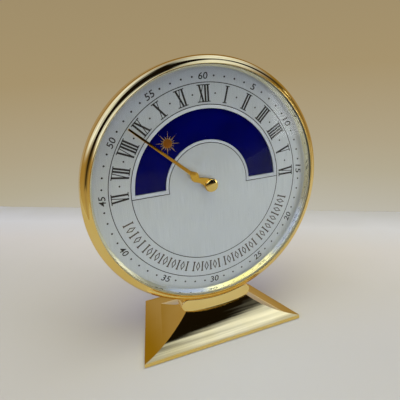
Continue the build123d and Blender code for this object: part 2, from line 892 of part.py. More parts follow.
with BuildPart() as day_wheel:
    with BuildSketch(front(day_wheel_ahead - motion_wheel_thickness)):
        with BuildLine():
            Polyline(*wheel_points(day_teeth, day_module, minute_direction), close=True)
        make_face()
    extrude(amount=motion_wheel_thickness)
    with BuildSketch(front(day_wheel_ahead)):
        Circle(day_hub_radius)
    extrude(amount=disc_back - day_wheel_ahead)
    with BuildSketch(front(disc_back)):
        Circle(day_pipe_radius)
    extrude(amount=disc_thickness)
    with BuildSketch(front(day_wheel_ahead - motion_wheel_thickness)):
        Circle(day_bore)
    extrude(amount=disc_front - day_wheel_ahead + motion_wheel_thickness, mode=Mode.SUBTRACT)
day_wheel.part.label = "day_wheel"
export_step(day_wheel.part, "parts/day_wheel.step")

# Minute wheel and its pinion on a stud in the front plate
minute_phase = minute_direction + 180
minute_leaf_phase = gap_phase(minute_direction, minute_leaves)
minute_bore = minute_stud_radius + running_clearance
minute_leaf_ahead = day_wheel_ahead + end_shake
with BuildPart() as minute_wheel:
    with BuildSketch(front(minute_wheel_ahead - motion_wheel_thickness, minute_at)):
        with BuildLine():
            Polyline(*wheel_points(minute_teeth, motion_module, minute_phase), close=True)
        make_face()
        Circle(minute_bore, mode=Mode.SUBTRACT)
    extrude(amount=motion_wheel_thickness)
minute_wheel.part.label = "minute_wheel"
export_step(minute_wheel.part, "parts/minute_wheel.step")

with BuildPart() as minute_pinion:
    with BuildSketch(front(minute_wheel_ahead, minute_at)):
        with BuildLine():
            Polyline(*leaf_points(minute_leaves, day_module, minute_leaf_phase), close=True)
        make_face()
        Circle(minute_bore, mode=Mode.SUBTRACT)
    extrude(amount=minute_leaf_ahead - minute_wheel_ahead)
minute_pinion.part.label = "minute_pinion"
export_step(minute_pinion.part, "parts/minute_pinion.step")

with BuildPart() as minute_stud:
    with BuildSketch(front(front_plate_back, minute_at)):
        Circle(minute_stud_radius)
    extrude(amount=disc_back - end_shake - front_plate_back)
minute_stud.part.label = "minute_stud"
export_step(minute_stud.part, "parts/minute_stud.step")

# Cannon pinion: leaves behind the minute wheel's rim, and a pipe forward to the hand
cannon_leaf_back = minute_wheel_ahead - motion_wheel_thickness - end_shake
cannon_front = hand_ahead + hand_thickness + hand_nut_height - end_shake
with BuildPart() as cannon_pinion:
    with BuildSketch(front(cannon_leaf_back)):
        with BuildLine():
            Polyline(
                *leaf_points(cannon_leaves, motion_module, gap_phase(minute_phase, cannon_leaves)),
                close=True,
            )
        make_face()
    extrude(amount=motion_wheel_thickness + 2 * end_shake)
    with BuildSketch(front(cannon_leaf_back)):
        Circle(cannon_pipe_radius)
    extrude(amount=hand_ahead - cannon_leaf_back)
    with BuildSketch(front(hand_ahead)):
        Circle(cannon_seat_radius)
    extrude(amount=cannon_front - hand_ahead)
    with BuildSketch(front(cannon_leaf_back)):
        Circle(centre_arbor_radius + running_clearance)
    extrude(amount=cannon_front - cannon_leaf_back, mode=Mode.SUBTRACT)
cannon_pinion.part.label = "cannon_pinion"
export_step(cannon_pinion.part, "parts/cannon_pinion.step")


def on_hand(*shares):
    """Points of the hand's outline, from shares of the height of its shoulder."""
    return [(across * hand_shoulder_height, up * hand_shoulder_height) for across, up in shares]


# Minute hand: a boss, an arm that steps aside to a shoulder, and a straight needle
with BuildPart() as minute_hand:
    with BuildSketch(front(hand_ahead, turn=hand_turn)):
        Circle(hand_boss_radius)
        with BuildLine():
            Spline(*on_hand((0.186, 0.171), (0.136, 0.307), (0.05, 0.471), (-0.021, 0.586)))
            Spline(*on_hand((-0.021, 0.586), (0.036, 0.65), (0.086, 0.75), (0.057, 0.871)))
            Polyline(
                *on_hand((0.057, 0.871), (0.007, 1)),
                (hand_tip_width / 2, hand_length),
                (-hand_tip_width / 2, hand_length),
                *on_hand((-0.125, 1), (-0.15, 0.921)),
            )
            Spline(
                *on_hand((-0.15, 0.921), (-0.236, 0.807), (-0.257, 0.664)),
                *on_hand((-0.193, 0.479), (-0.164, 0.314), (-0.186, 0.171)),
            )
            Line(*on_hand((-0.186, 0.171), (0.186, 0.171)))
        make_face()
        Circle(cannon_seat_radius, mode=Mode.SUBTRACT)
    extrude(amount=hand_thickness)
minute_hand.part.label = "minute_hand"
export_step(minute_hand.part, "parts/minute_hand.step")

with BuildPart() as hand_nut:
    with BuildSketch(front(hand_ahead + hand_thickness)):
        Circle(hand_nut_radius)
        Circle(cannon_seat_radius, mode=Mode.SUBTRACT)
    extrude(amount=hand_nut_height)
    fillet(hand_nut.faces().sort_by(Axis.Y)[0].outer_wire().edges(), radius=hand_nut_round)
hand_nut.part.label = "hand_nut"
export_step(hand_nut.part, "parts/hand_nut.step")

# Setting arbor from its pinion to the knob behind the cover
setting_phase = gap_phase(setting_direction, setting_leaves)
setting_phase += (setting_direction - minute_phase) * minute_teeth / setting_leaves
setting_leaf_back = minute_wheel_ahead - motion_wheel_thickness - end_shake
setting_tail = knob_front - setting_knob_height + end_shake
with BuildPart() as setting_arbor:
    with BuildSketch(front(setting_leaf_back, setting_at)):
        with BuildLine():
            Polyline(*leaf_points(setting_leaves, motion_module, setting_phase), close=True)
        make_face()
    extrude(amount=motion_wheel_thickness + 2 * end_shake)
    with BuildSketch(front(setting_tail, setting_at)):
        Circle(setting_arbor_radius)
    extrude(amount=setting_leaf_back - setting_tail)
setting_arbor.part.label = "setting_arbor"
export_step(setting_arbor.part, "parts/setting_arbor.step")

with BuildPart() as setting_knob:
    with BuildSketch(front(knob_front - setting_knob_height, setting_at)):
        Circle(setting_knob_radius)
        with PolarLocations(setting_knob_radius, setting_knob_ridges):
            Circle(setting_knob_groove, mode=Mode.SUBTRACT)
    extrude(amount=setting_knob_height)
    with BuildSketch(front(setting_tail, setting_at)):
        Circle(setting_arbor_radius)
    extrude(amount=knob_front - setting_tail, mode=Mode.SUBTRACT)
setting_knob.part.label = "setting_knob"
export_step(setting_knob.part, "parts/setting_knob.step")

# Barrel, its lid and the mainspring
barrel_tooth_radius = barrel_teeth * barrel_module / 2
barrel_drum_radius = barrel_tooth_radius - barrel_tooth_margin
barrel_arbor_bore = barrel_arbor_radius + running_clearance
with BuildPart() as barrel:
    with BuildSketch(front(barrel_front - barrel_floor, barrel_at)):
        with BuildLine():
            Polyline(*wheel_points(barrel_teeth, barrel_module, barrel_direction + 180), close=True)
        make_face()
        Circle(barrel_arbor_bore, mode=Mode.SUBTRACT)
    extrude(amount=barrel_floor)
    with BuildSketch(front(barrel_back, barrel_at)):
        Circle(barrel_drum_radius)
        Circle(barrel_drum_radius - barrel_wall, mode=Mode.SUBTRACT)
    extrude(amount=barrel_height - barrel_floor)
barrel.part.label = "barrel"
export_step(barrel.part, "parts/barrel.step")

with BuildPart() as barrel_lid:
    with BuildSketch(front(barrel_back, barrel_at)):
        Circle(barrel_drum_radius - barrel_wall)
        Circle(barrel_arbor_bore, mode=Mode.SUBTRACT)
    extrude(amount=barrel_lid_thickness)
barrel_lid.part.label = "barrel_lid"
export_step(barrel_lid.part, "parts/barrel_lid.step")

spring_room = barrel_height - barrel_floor - barrel_lid_thickness
spring_back = barrel_back + barrel_lid_thickness + end_shake
spring_outer = barrel_drum_radius - barrel_wall - mainspring_thickness
with BuildPart() as mainspring:
    with BuildSketch(front(spring_back, barrel_at)):
        with BuildLine():
            Polyline(
                *spiral_points(
                    barrel_core_radius + mainspring_thickness, spring_outer,
                    mainspring_turns, mainspring_thickness,
                ),
                close=True,
            )
        make_face()
    extrude(amount=spring_room - 2 * end_shake)
mainspring.part.label = "mainspring"
export_step(mainspring.part, "parts/mainspring.step")

# Barrel arbor with its core, the ratchet wheel and the wing key on its tail
ratchet_front = back_plate_back - ratchet_gap
key_back = knob_front - key_hub_height
with BuildPart() as barrel_arbor:
    with BuildSketch(front(key_back + end_shake, barrel_at)):
        Circle(barrel_arbor_radius)
    extrude(amount=flange_back - key_back - end_shake)
    with BuildSketch(front(spring_back, barrel_at)):
        Circle(barrel_core_radius)
    extrude(amount=spring_room - 2 * end_shake)
barrel_arbor.part.label = "barrel_arbor"
export_step(barrel_arbor.part, "parts/barrel_arbor.step")

ratchet_points = []
for tooth in range(ratchet_teeth):
    ratchet_points.append(polar(ratchet_radius, tooth * 360 / ratchet_teeth))
    ratchet_points.append(polar(ratchet_radius - ratchet_tooth_depth, tooth * 360 / ratchet_teeth))
with BuildPart() as ratchet_wheel:
    with BuildSketch(front(ratchet_front - ratchet_thickness, barrel_at)):
        with BuildLine():
            Polyline(*ratchet_points, close=True)
        make_face()
        Circle(barrel_arbor_radius, mode=Mode.SUBTRACT)
    extrude(amount=ratchet_thickness)
ratchet_wheel.part.label = "ratchet_wheel"
export_step(ratchet_wheel.part, "parts/ratchet_wheel.step")

key_lobe_radius = key_wing_height / 2
key_lobe_offset = key_wing_half_width - key_lobe_radius
key_lobe_ahead = key_back - key_lobe_radius + key_wing_sunk
with BuildPart() as winding_key:
    with BuildSketch(front(key_back, barrel_at)):
        Circle(key_hub_radius)
    extrude(amount=key_hub_height)
    with BuildSketch(turning(barrel_at)):
        with Locations((0, key_lobe_ahead)):
            SlotOverall(2 * key_wing_half_width, 2 * key_lobe_radius)
    extrude(amount=key_wing_thickness / 2, both=True)
    with BuildSketch(turning(barrel_at)):
        with Locations((-key_lobe_offset, key_lobe_ahead), (key_lobe_offset, key_lobe_ahead)):
            Circle(key_lobe_radius / 2)
    extrude(amount=key_wing_thickness, both=True, mode=Mode.SUBTRACT)
    with BuildSketch(front(key_back + end_shake, barrel_at)):
        Circle(barrel_arbor_radius)
    extrude(amount=key_hub_height, mode=Mode.SUBTRACT)
winding_key.part.label = "winding_key"
export_step(winding_key.part, "parts/winding_key.step")

# Click over the ratchet's teeth, its screw and its leaf spring
click_tip = polar(ratchet_radius + click_clear, click_direction - click_span, barrel_at)
click_arm = (click_tip[0] - click_at[0], click_tip[1] - click_at[1])
click_length = hypot(*click_arm)
click_turn = degrees(atan2(click_arm[1], click_arm[0]))
with BuildPart() as click:
    with BuildSketch(front(ratchet_front - ratchet_thickness, click_at, click_turn)):
        with BuildLine():
            Polyline(
                (0, -click_root_half_width), (click_length, 0), (0, click_root_half_width), close=True
            )
        make_face()
        Circle(click_hub_radius)
        Circle(click_screw_radius + running_clearance, mode=Mode.SUBTRACT)
    extrude(amount=ratchet_thickness)
click.part.label = "click"
export_step(click.part, "parts/click.step")

click_screw = slotted_screws(
    [click_at], ratchet_front - ratchet_thickness - end_shake, back_plate_front,
    click_screw_radius, click_hub_radius - seat_clearance, small_head_height,
)
click_screw.part.label = "click_screw"
export_step(click_screw.part, "parts/click_screw.step")

spring_post = (-click_spring_back, click_spring_side)
spring_end = (click_length - click_spring_short, click_spring_lift)
with BuildPart() as click_spring:
    with BuildSketch(front(ratchet_front - ratchet_thickness, click_at, click_turn)):
        with Locations(spring_post):
            Circle(click_spring_post_radius)
    extrude(amount=back_plate_back - ratchet_front + ratchet_thickness)
    with BuildSketch(front(ratchet_front - ratchet_thickness, click_at, click_turn)):
        with BuildLine():
            Polyline(
                spring_post,
                spring_end,
                (spring_end[0], spring_end[1] + click_spring_thickness),
                (spring_post[0], spring_post[1] + click_spring_thickness),
                close=True,
            )
        make_face()
    extrude(amount=ratchet_thickness)
click_spring.part.label = "click_spring"
export_step(click_spring.part, "parts/click_spring.step")

# Going train: each arbor carries a pinion of leaves and a crossed-out wheel
train = {
    "second": {
        "at": second_at, "teeth": second_teeth, "module": second_module, "wheel": second_wheel_ahead,
        "phase": second_direction + 180, "leaves": second_leaves, "leaf_module": barrel_module,
        "leaf": barrel_front + end_shake / 2, "leaf_length": barrel_floor + end_shake,
        "leaf_phase": gap_phase(barrel_direction + 180, second_leaves),
    },
    "third": {
        "at": third_at, "teeth": third_teeth, "module": third_module, "wheel": third_wheel_ahead,
        "phase": fourth_direction, "leaves": third_leaves, "leaf_module": centre_module,
        "leaf": centre_wheel_ahead + leaf_lead, "leaf_length": pinion_length,
        "leaf_phase": gap_phase(third_direction, third_leaves),
    },
    "fourth": {
        "at": fourth_at, "teeth": fourth_teeth, "module": fourth_module, "wheel": fourth_wheel_ahead,
        "phase": escape_direction, "leaves": fourth_leaves, "leaf_module": third_module,
        "leaf": third_wheel_ahead + leaf_lead, "leaf_length": pinion_length,
        "leaf_phase": gap_phase(fourth_direction, fourth_leaves),
    },
}
for name, arbor in train.items():
    hole_circle_radius, hole_radius = crossing_holes(arbor["teeth"], arbor["module"], crossing_hub)
    with BuildPart() as wheel:
        with BuildSketch(front(arbor["wheel"] - train_wheel_thickness, arbor["at"])):
            with BuildLine():
                Polyline(*wheel_points(arbor["teeth"], arbor["module"], arbor["phase"]), close=True)
            make_face()
            Circle(train_arbor_radius, mode=Mode.SUBTRACT)
            with PolarLocations(hole_circle_radius, crossings):
                Circle(hole_radius, mode=Mode.SUBTRACT)
        extrude(amount=train_wheel_thickness)
    wheel.part.label = f"{name}_wheel"
    export_step(wheel.part, f"parts/{name}_wheel.step")

    with BuildPart() as pinion:
        with BuildSketch(front(arbor["leaf"] - arbor["leaf_length"], arbor["at"])):
            with BuildLine():
                Polyline(
                    *leaf_points(arbor["leaves"], arbor["leaf_module"], arbor["leaf_phase"]),
                    close=True,
                )
            make_face()
        extrude(amount=arbor["leaf_length"])
        with BuildSketch(front(back_plate_front + end_shake, arbor["at"])):
            Circle(train_arbor_radius)
        extrude(amount=plate_spacing - 2 * end_shake)
        with BuildSketch(front(back_plate_back, arbor["at"])):
            Circle(pivot_radius)
        extrude(amount=plate_spacing + 2 * plate_thickness)
    pinion.part.label = f"{name}_pinion"
    export_step(pinion.part, f"parts/{name}_pinion.step")

# Centre wheel, and the long arbor that carries the cannon pinion by friction
hole_circle_radius, hole_radius = crossing_holes(centre_teeth, centre_module, crossing_hub)
with BuildPart() as centre_wheel:
    with BuildSketch(front(centre_wheel_ahead - train_wheel_thickness)):
        with BuildLine():
            Polyline(*wheel_points(centre_teeth, centre_module, third_direction), close=True)
        make_face()
        Circle(centre_arbor_radius, mode=Mode.SUBTRACT)
        with PolarLocations(hole_circle_radius, crossings):
            Circle(hole_radius, mode=Mode.SUBTRACT)
    extrude(amount=train_wheel_thickness)
centre_wheel.part.label = "centre_wheel"
export_step(centre_wheel.part, "parts/centre_wheel.step")

with BuildPart() as centre_arbor:
    with BuildSketch(front(centre_leaf_ahead - pinion_length)):
        with BuildLine():
            Polyline(
                *leaf_points(centre_leaves, second_module, gap_phase(second_direction + 180, centre_leaves)),
                close=True,
            )
        make_face()
    extrude(amount=pinion_length)
    with BuildSketch(front(back_plate_back)):
        Circle(centre_arbor_radius)
    extrude(amount=cannon_front - back_plate_back)
centre_arbor.part.label = "centre_arbor"
export_step(centre_arbor.part, "parts/centre_arbor.step")

# Escape wheel and pinion
escape_points = []
for tooth in range(escape_wheel_teeth):
    middle = balance_direction + tooth * 360 / escape_wheel_teeth
    escape_points.append(polar(escape_radius - escape_rim, middle - escape_tooth_back))
    escape_points.append(polar(escape_radius, middle - escape_tooth_half))
    escape_points.append(polar(escape_radius, middle + escape_tooth_half))
    escape_points.append(polar(escape_radius - escape_rim, middle + escape_tooth_front))
with BuildPart() as escape_wheel:
    with BuildSketch(front(escape_wheel_ahead - train_wheel_thickness, escape_at)):
        with BuildLine():
            Polyline(*escape_points, close=True)
        make_face()
        Circle(train_arbor_radius, mode=Mode.SUBTRACT)
    extrude(amount=train_wheel_thickness)
escape_wheel.part.label = "escape_wheel"
export_step(escape_wheel.part, "parts/escape_wheel.step")

with BuildPart() as escape_pinion:
    with BuildSketch(front(fourth_wheel_ahead + leaf_lead - pinion_length, escape_at)):
        with BuildLine():
            Polyline(
                *leaf_points(escape_leaves, fourth_module, gap_phase(escape_direction, escape_leaves)),
                close=True,
            )
        make_face()
    extrude(amount=pinion_length)
    with BuildSketch(front(back_plate_front + end_shake, escape_at)):
        Circle(train_arbor_radius)
    extrude(amount=plate_spacing - 2 * end_shake)
    with BuildSketch(front(back_plate_back, escape_at)):
        Circle(pivot_radius)
    extrude(amount=plate_spacing + 2 * plate_thickness)
escape_pinion.part.label = "escape_pinion"
export_step(escape_pinion.part, "parts/escape_pinion.step")

# Pallet lever behind the escape wheel's plane, with two stones that reach forward beside it
lever_front = escape_wheel_ahead - train_wheel_thickness - end_shake
stone_middle = escape_radius + pallet_clear + pallet_length / 2
fork_reach = balance_distance - pallet_distance - impulse_pin_orbit - impulse_pin_radius - fork_clear
stone_x = stone_middle * cos(radians(pallet_half_span)) - pallet_distance
stone_z = stone_middle * sin(radians(pallet_half_span))
roller_front = lever_front - lever_thickness - end_shake
bridge_ahead = roller_front - roller_thickness - end_shake
with BuildPart() as pallet_lever:
    with BuildSketch(front(lever_front - lever_thickness, pallet_at, balance_direction)):
        with Locations((stone_x, 0)):
            Rectangle(pallet_length, 2 * stone_z + pallet_length)
        with Locations((fork_reach / 2, 0)):
            Rectangle(fork_reach, lever_width)
        Circle(lever_width)
        with Locations((fork_reach, 0)):
            Rectangle(lever_width, lever_width / 2, mode=Mode.SUBTRACT)
    extrude(amount=lever_thickness)
    with BuildSketch(front(bridge_ahead + end_shake, pallet_at)):
        Circle(train_arbor_radius)
    extrude(amount=front_plate_back - bridge_ahead - 2 * end_shake)
    with BuildSketch(front(bridge_ahead - bridge_thickness, pallet_at)):
        Circle(pivot_radius)
    extrude(amount=flange_back - bridge_ahead + bridge_thickness)
pallet_lever.part.label = "pallet_lever"
export_step(pallet_lever.part, "parts/pallet_lever.step")

with BuildPart() as pallet_stones:
    for half_span in (-pallet_half_span, pallet_half_span):
        with BuildSketch(front(lever_front, escape_at, balance_direction + half_span)):
            with Locations((stone_middle, 0)):
                Rectangle(pallet_length, pallet_width)
        extrude(amount=escape_wheel_ahead - lever_front + end_shake)
pallet_stones.part.label = "pallet_stones"
export_step(pallet_stones.part, "parts/pallet_stones.step")

# Bridge on two posts, which carries the lever's rear pivot in front of the balance
with BuildPart() as pallet_bridge:
    with BuildSketch(front(bridge_ahead - bridge_thickness, pallet_at, balance_direction + 90)):
        SlotCenterToCenter(2 * bridge_reach, bridge_width)
        Circle(pivot_radius + running_clearance, mode=Mode.SUBTRACT)
    extrude(amount=bridge_thickness)
    with BuildSketch(front(bridge_ahead)):
        with Locations(*bridge_post_points):
            Circle(bridge_post_radius)
    extrude(amount=front_plate_back - bridge_ahead)
    with BuildSketch(front(front_plate_back)):
        with Locations(*bridge_post_points):
            Circle(pillar_spigot_radius)
    extrude(amount=plate_thickness)
pallet_bridge.part.label = "pallet_bridge"
export_step(pallet_bridge.part, "parts/pallet_bridge.step")

# Balance wheel on its staff, with the roller and its impulse pin, and the hairspring
with BuildPart() as balance_wheel:
    with BuildSketch(front(balance_ahead - balance_height, balance_at, balance_direction)):
        Circle(balance_radius)
        Circle(balance_radius - balance_rim, mode=Mode.SUBTRACT)
        Rectangle(2 * balance_radius - balance_rim, balance_arm_width)
        Rectangle(balance_arm_width, 2 * balance_radius - balance_rim)
        Circle(balance_arm_width)
        Circle(staff_radius, mode=Mode.SUBTRACT)
    extrude(amount=balance_height)
balance_wheel.part.label = "balance_wheel"
export_step(balance_wheel.part, "parts/balance_wheel.step")

with BuildPart() as balance_staff:
    with BuildSketch(front(back_plate_front + end_shake, balance_at)):
        Circle(staff_radius)
    extrude(amount=plate_spacing - 2 * end_shake)
    with BuildSketch(front(back_plate_back, balance_at)):
        Circle(pivot_radius)
    extrude(amount=plate_spacing + 2 * plate_thickness)
    with BuildSketch(front(roller_front - roller_thickness, balance_at)):
        Circle(roller_radius)
    extrude(amount=roller_thickness)
    with BuildSketch(front(roller_front, balance_at, balance_direction)):
        with Locations((-impulse_pin_orbit, 0)):
            Circle(impulse_pin_radius)
    extrude(amount=lever_front - roller_front)
balance_staff.part.label = "balance_staff"
export_step(balance_staff.part, "parts/balance_staff.step")

hairspring_ahead = balance_ahead - balance_height - end_shake
with BuildPart() as hairspring:
    with BuildSketch(front(hairspring_ahead - hairspring_height, balance_at)):
        with BuildLine():
            Polyline(
                *spiral_points(
                    hairspring_inner_radius, hairspring_outer_radius,
                    hairspring_turns, hairspring_thickness,
                ),
                close=True,
            )
        make_face()
    extrude(amount=hairspring_height)
hairspring.part.label = "hairspring"
export_step(hairspring.part, "parts/hairspring.step")

# Balance cap in the back plate, and the regulator lever that turns on it
cap_back = back_plate_back - cap_height
with BuildPart() as balance_cap:
    with BuildSketch(front(cap_back, balance_at)):
        Circle(cap_radius)
    extrude(amount=cap_height + plate_thickness)
    with BuildSketch(front(back_plate_back, balance_at)):
        Circle(pivot_radius + running_clearance)
    extrude(amount=plate_thickness, mode=Mode.SUBTRACT)
balance_cap.part.label = "balance_cap"
export_step(balance_cap.part, "parts/balance_cap.step")

regulator_back = back_plate_back - end_shake - regulator_thickness
pin_back = cover_back - regulator_pin_above_cover
with BuildPart() as regulator_lever:
    with BuildSketch(front(regulator_back, balance_at, regulator_direction)):
        Circle(cap_radius + running_clearance + regulator_width)
        with Locations((regulator_reach / 2, 0)):
            SlotOverall(regulator_reach + 2 * regulator_width, 1.5 * regulator_width)
        Circle(cap_radius + running_clearance, mode=Mode.SUBTRACT)
    extrude(amount=regulator_thickness)
    with BuildSketch(front(pin_back, balance_at, regulator_direction)):
        with Locations((regulator_reach, 0)):
            Circle(regulator_pin_radius)
    extrude(amount=regulator_back - pin_back)
regulator_lever.part.label = "regulator_lever"
export_step(regulator_lever.part, "parts/regulator_lever.step")
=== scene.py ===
"""Desk clock, dressed: its turned case, ground foot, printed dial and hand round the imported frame.

The dial faces -Y and the clock stands on Z = 0. Sizes are millimetres on the clock, and are turned
to metres by MM where a mesh is made. Pieces on the dial are modelled lying down, with x to the
right, y up the dial and z ahead of the dial's face, and are then stood up by `stand`. The table,
the lamps and the camera are in metres.
"""
import json
import logging
from collections.abc import Callable, Iterator, Sequence
from contextlib import contextmanager
from dataclasses import dataclass
from enum import Enum
from math import asin, atan2, cos, degrees, hypot, pi, radians, sin, sqrt
from typing import Any

import bpy
from mathutils import Matrix, Vector


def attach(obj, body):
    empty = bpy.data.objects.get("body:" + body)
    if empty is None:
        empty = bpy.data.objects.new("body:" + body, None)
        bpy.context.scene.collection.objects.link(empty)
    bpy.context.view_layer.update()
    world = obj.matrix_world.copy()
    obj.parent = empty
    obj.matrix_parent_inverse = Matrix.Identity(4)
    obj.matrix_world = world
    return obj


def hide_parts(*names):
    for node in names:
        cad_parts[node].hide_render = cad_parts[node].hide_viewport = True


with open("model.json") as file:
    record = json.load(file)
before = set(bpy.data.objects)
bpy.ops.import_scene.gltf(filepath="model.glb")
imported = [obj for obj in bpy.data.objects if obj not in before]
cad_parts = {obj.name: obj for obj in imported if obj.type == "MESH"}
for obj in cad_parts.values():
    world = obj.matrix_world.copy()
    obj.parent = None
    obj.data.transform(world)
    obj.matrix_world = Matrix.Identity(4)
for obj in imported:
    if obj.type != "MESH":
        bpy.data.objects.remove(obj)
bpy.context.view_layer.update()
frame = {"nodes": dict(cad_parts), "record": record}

log = logging.getLogger("desk_clock")

MM = 0.001
DIAL_Y = -12.75
CENTRE_Z = 86.0
SEAM = 1e-6
FULL_TURN = 2 * pi

Point = tuple[float, float]
Point3 = tuple[float, float, float]
Stops = Sequence[tuple[float, str]]
Piece = bpy.types.Object
Node = bpy.types.Node
Tree = bpy.types.NodeTree
Socket = bpy.types.NodeSocket


class Body(str, Enum):
    """The moving bodies that new pieces ride on."""

    CLOCK = "clock"
    HAND = "hand"
    DISC = "disc"
    WINDING = "winding"
    SETTING = "setting"
    REGULATOR = "regulator"


class Slot(str, Enum):
    """The record's material slots."""

    GILT = "gilt"
    GILT_SATIN = "gilt_satin"
    GOLD_HAND = "gold_hand"
    CRYSTAL = "crystal"
    GASKET = "gasket"
    DIAL = "silvered_dial"
    NAVY = "navy"
    FELT = "felt"
    STEEL = "steel"
    BRASS = "movement_brass"
    SPRING = "spring_steel"
    RUBY = "ruby"


def polar(radius: float, angle: float, start: Point = (0, 0)) -> Point:
    """Returns the point at a distance and an anticlockwise angle in degrees from `start`."""
    return start[0] + radius * cos(radians(angle)), start[1] + radius * sin(radians(angle))


def rectangle(near: Point, far: Point) -> list[Point]:
    """Lists the corners of the rectangle between two of them."""
    return [near, (far[0], near[1]), far, (near[0], far[1])]


def arc(radius: float, start: float, stop: float, count: int, centre: Point = (0, 0)) -> list[Point]:
    """Lists `count` points along an arc from one angle in degrees to another, both included."""
    step = (stop - start) / (count - 1)
    return [polar(radius, start + step * index, centre) for index in range(count)]


def bulge(start: Point, stop: Point, rise: float, count: int) -> list[Point]:
    """Lists points along a shallow arc between two points.

    Args:
        start: The first point.
        stop: The last point.
        rise: How far the arc leaves the chord, to the left of its direction.
        count: How many points there are.

    Returns:
        The points, both ends included.
    """
    chord = hypot(stop[0] - start[0], stop[1] - start[1])
    along = ((stop[0] - start[0]) / chord, (stop[1] - start[1]) / chord)
    radius = (chord**2 / 4 + rise**2) / (2 * abs(rise))
    half = asin(min(1.0, chord / 2 / radius))
    side = 1 if rise > 0 else -1
    points = []
    for index in range(count):
        angle = -half + 2 * half * index / (count - 1)
        forward = chord / 2 + radius * sin(angle)
        up = side * (radius * cos(angle) - (radius - abs(rise)))
        shift = (along[0] * forward - along[1] * up, along[1] * forward + along[0] * up)
        points.append((start[0] + shift[0], start[1] + shift[1]))
    return points


def flowing(knots: Sequence[Point], steps: int = 5) -> list[Point]:
    """Runs a smooth line through a few knots.

    Args:
        knots: The points that the line passes through.
        steps: How many points it has for each stretch.

    Returns:
        The line's points, from the first knot to the last.
    """
    padded = [knots[0], *knots, knots[-1]]
    line = []
    for four in zip(padded, padded[1:], padded[2:], padded[3:]):
        for t in (step / steps for step in range(steps)):
            weights = (-t + 2 * t**2 - t**3, 2 - 5 * t**2 + 3 * t**3, t + 4 * t**2 - 3 * t**3, t**3 - t**2)
            line.append(tuple(0.5 * sum(w * knot[axis] for w, knot in zip(weights, four)) for axis in (0, 1)))
    return [*line, knots[-1]]


# Bench: the operators that every piece is made with


def deselect() -> None:
    """Leaves nothing selected."""
    if bpy.context.object and bpy.context.object.mode != "OBJECT":
        bpy.ops.object.mode_set(mode="OBJECT")
    bpy.ops.object.select_all(action="DESELECT")


def pick(*pieces: Piece) -> None:
    """Selects pieces alone and makes the first one active.

    Args:
        *pieces: The pieces.
    """
    deselect()
    for piece in pieces:
        piece.select_set(True)
    bpy.context.view_layer.objects.active = pieces[0]


@contextmanager
def editing(piece: Piece) -> Iterator[None]:
    """Opens a piece in edit mode with all of it selected.

    Args:
        piece: The piece.

    Yields:
        Nothing, while edit mode is open.
    """
    pick(piece)
    bpy.ops.object.mode_set(mode="EDIT")
    bpy.ops.mesh.select_mode(type="VERT")
    bpy.ops.mesh.select_all(action="SELECT")
    yield
    bpy.ops.object.mode_set(mode="OBJECT")


def select_faces(piece: Piece, test: Callable[[Vector], bool]) -> None:
    """Selects faces by their normal, inside `editing`.

    Args:
        piece: The piece.
        test: Says of a face's normal whether it is selected.
    """
    bpy.ops.mesh.select_mode(type="FACE")
    bpy.ops.mesh.select_all(action="DESELECT")
    bpy.ops.object.mode_set(mode="OBJECT")
    for face in piece.data.polygons:
        face.select = test(face.normal)
    bpy.ops.object.mode_set(mode="EDIT")


def face_outward() -> None:
    """Turns every face of the piece in edit mode outward."""
    bpy.ops.mesh.select_all(action="SELECT")
    bpy.ops.mesh.normals_make_consistent(inside=False)


def merge(piece: Piece, flat: float = 0.0) -> None:
    """Merges a piece's doubles, and its faces that lie within `flat` degrees of flat.

    Args:
        piece: The piece.
        flat: The angle, or 0 to leave the faces.
    """
    with editing(piece):
        bpy.ops.mesh.remove_doubles(threshold=SEAM)
        if flat:
            bpy.ops.mesh.dissolve_limited(angle_limit=radians(flat))


def outline(name: str, points: Sequence[Point], filled: bool = True) -> Piece:
    """Lays a closed outline on the bench.

    Args:
        name: The piece's name.
        points: The outline's corners in mm.
        filled: Whether it has a face.

    Returns:
        The new piece, flat at z = 0.
    """
    deselect()
    bpy.ops.mesh.primitive_circle_add(vertices=len(points), fill_type="NGON" if filled else "NOTHING")
    piece = bpy.context.object
    piece.name = name
    for vertex, (x, y) in zip(piece.data.vertices, points):
        vertex.co = (x * MM, y * MM, 0)
    piece.data.update()
    return piece


def blanked(name: str, points: Sequence[Point], foot: float, height: float) -> Piece:
    """Blanks a flat piece with this outline.

    Args:
        name: The piece's name.
        points: The outline's corners in mm.
        foot: Where its lower face lies.
        height: How thick it is.

    Returns:
        The new piece, with its normals outward.
    """
    piece = outline(name, points)
    with editing(piece):
        bpy.ops.mesh.extrude_region_move(TRANSFORM_OT_translate={"value": (0, 0, height * MM)})
        bpy.ops.mesh.select_all(action="SELECT")
        bpy.ops.transform.translate(value=(0, 0, foot * MM))
        face_outward()
    return piece


def turned(name: str, profile: Sequence[Point], steps: int = 240) -> Piece:
    """Turns a closed profile round the dial's axis, as on a lathe.

    Args:
        name: The piece's name.
        profile: Pairs of radius and height ahead of the dial.
        steps: How many facets the turn has.

    Returns:
        The turned piece, with its seam merged and its normals outward.
    """
    piece = outline(name, profile, filled=False)
    for vertex in piece.data.vertices:
        vertex.co = (vertex.co.x, 0, vertex.co.y)
    with editing(piece):
        bpy.ops.mesh.spin(steps=steps, angle=FULL_TURN, center=(0, 0, 0), axis=(0, 0, 1))
        bpy.ops.mesh.select_all(action="SELECT")
        bpy.ops.mesh.remove_doubles(threshold=SEAM)
        bpy.ops.mesh.delete_loose()
        face_outward()
    return piece


def finish_modifier(piece: Piece, kind: str, **settings: Any) -> None:
    """Adds a modifier and applies it.

    Args:
        piece: The piece.
        kind: The modifier's type.
        **settings: The modifier's own properties.
    """
    pick(piece)
    modifier = piece.modifiers.new(kind.title(), kind)
    for name, value in settings.items():
        setattr(modifier, name, value)
    bpy.ops.object.modifier_apply(modifier=modifier.name)


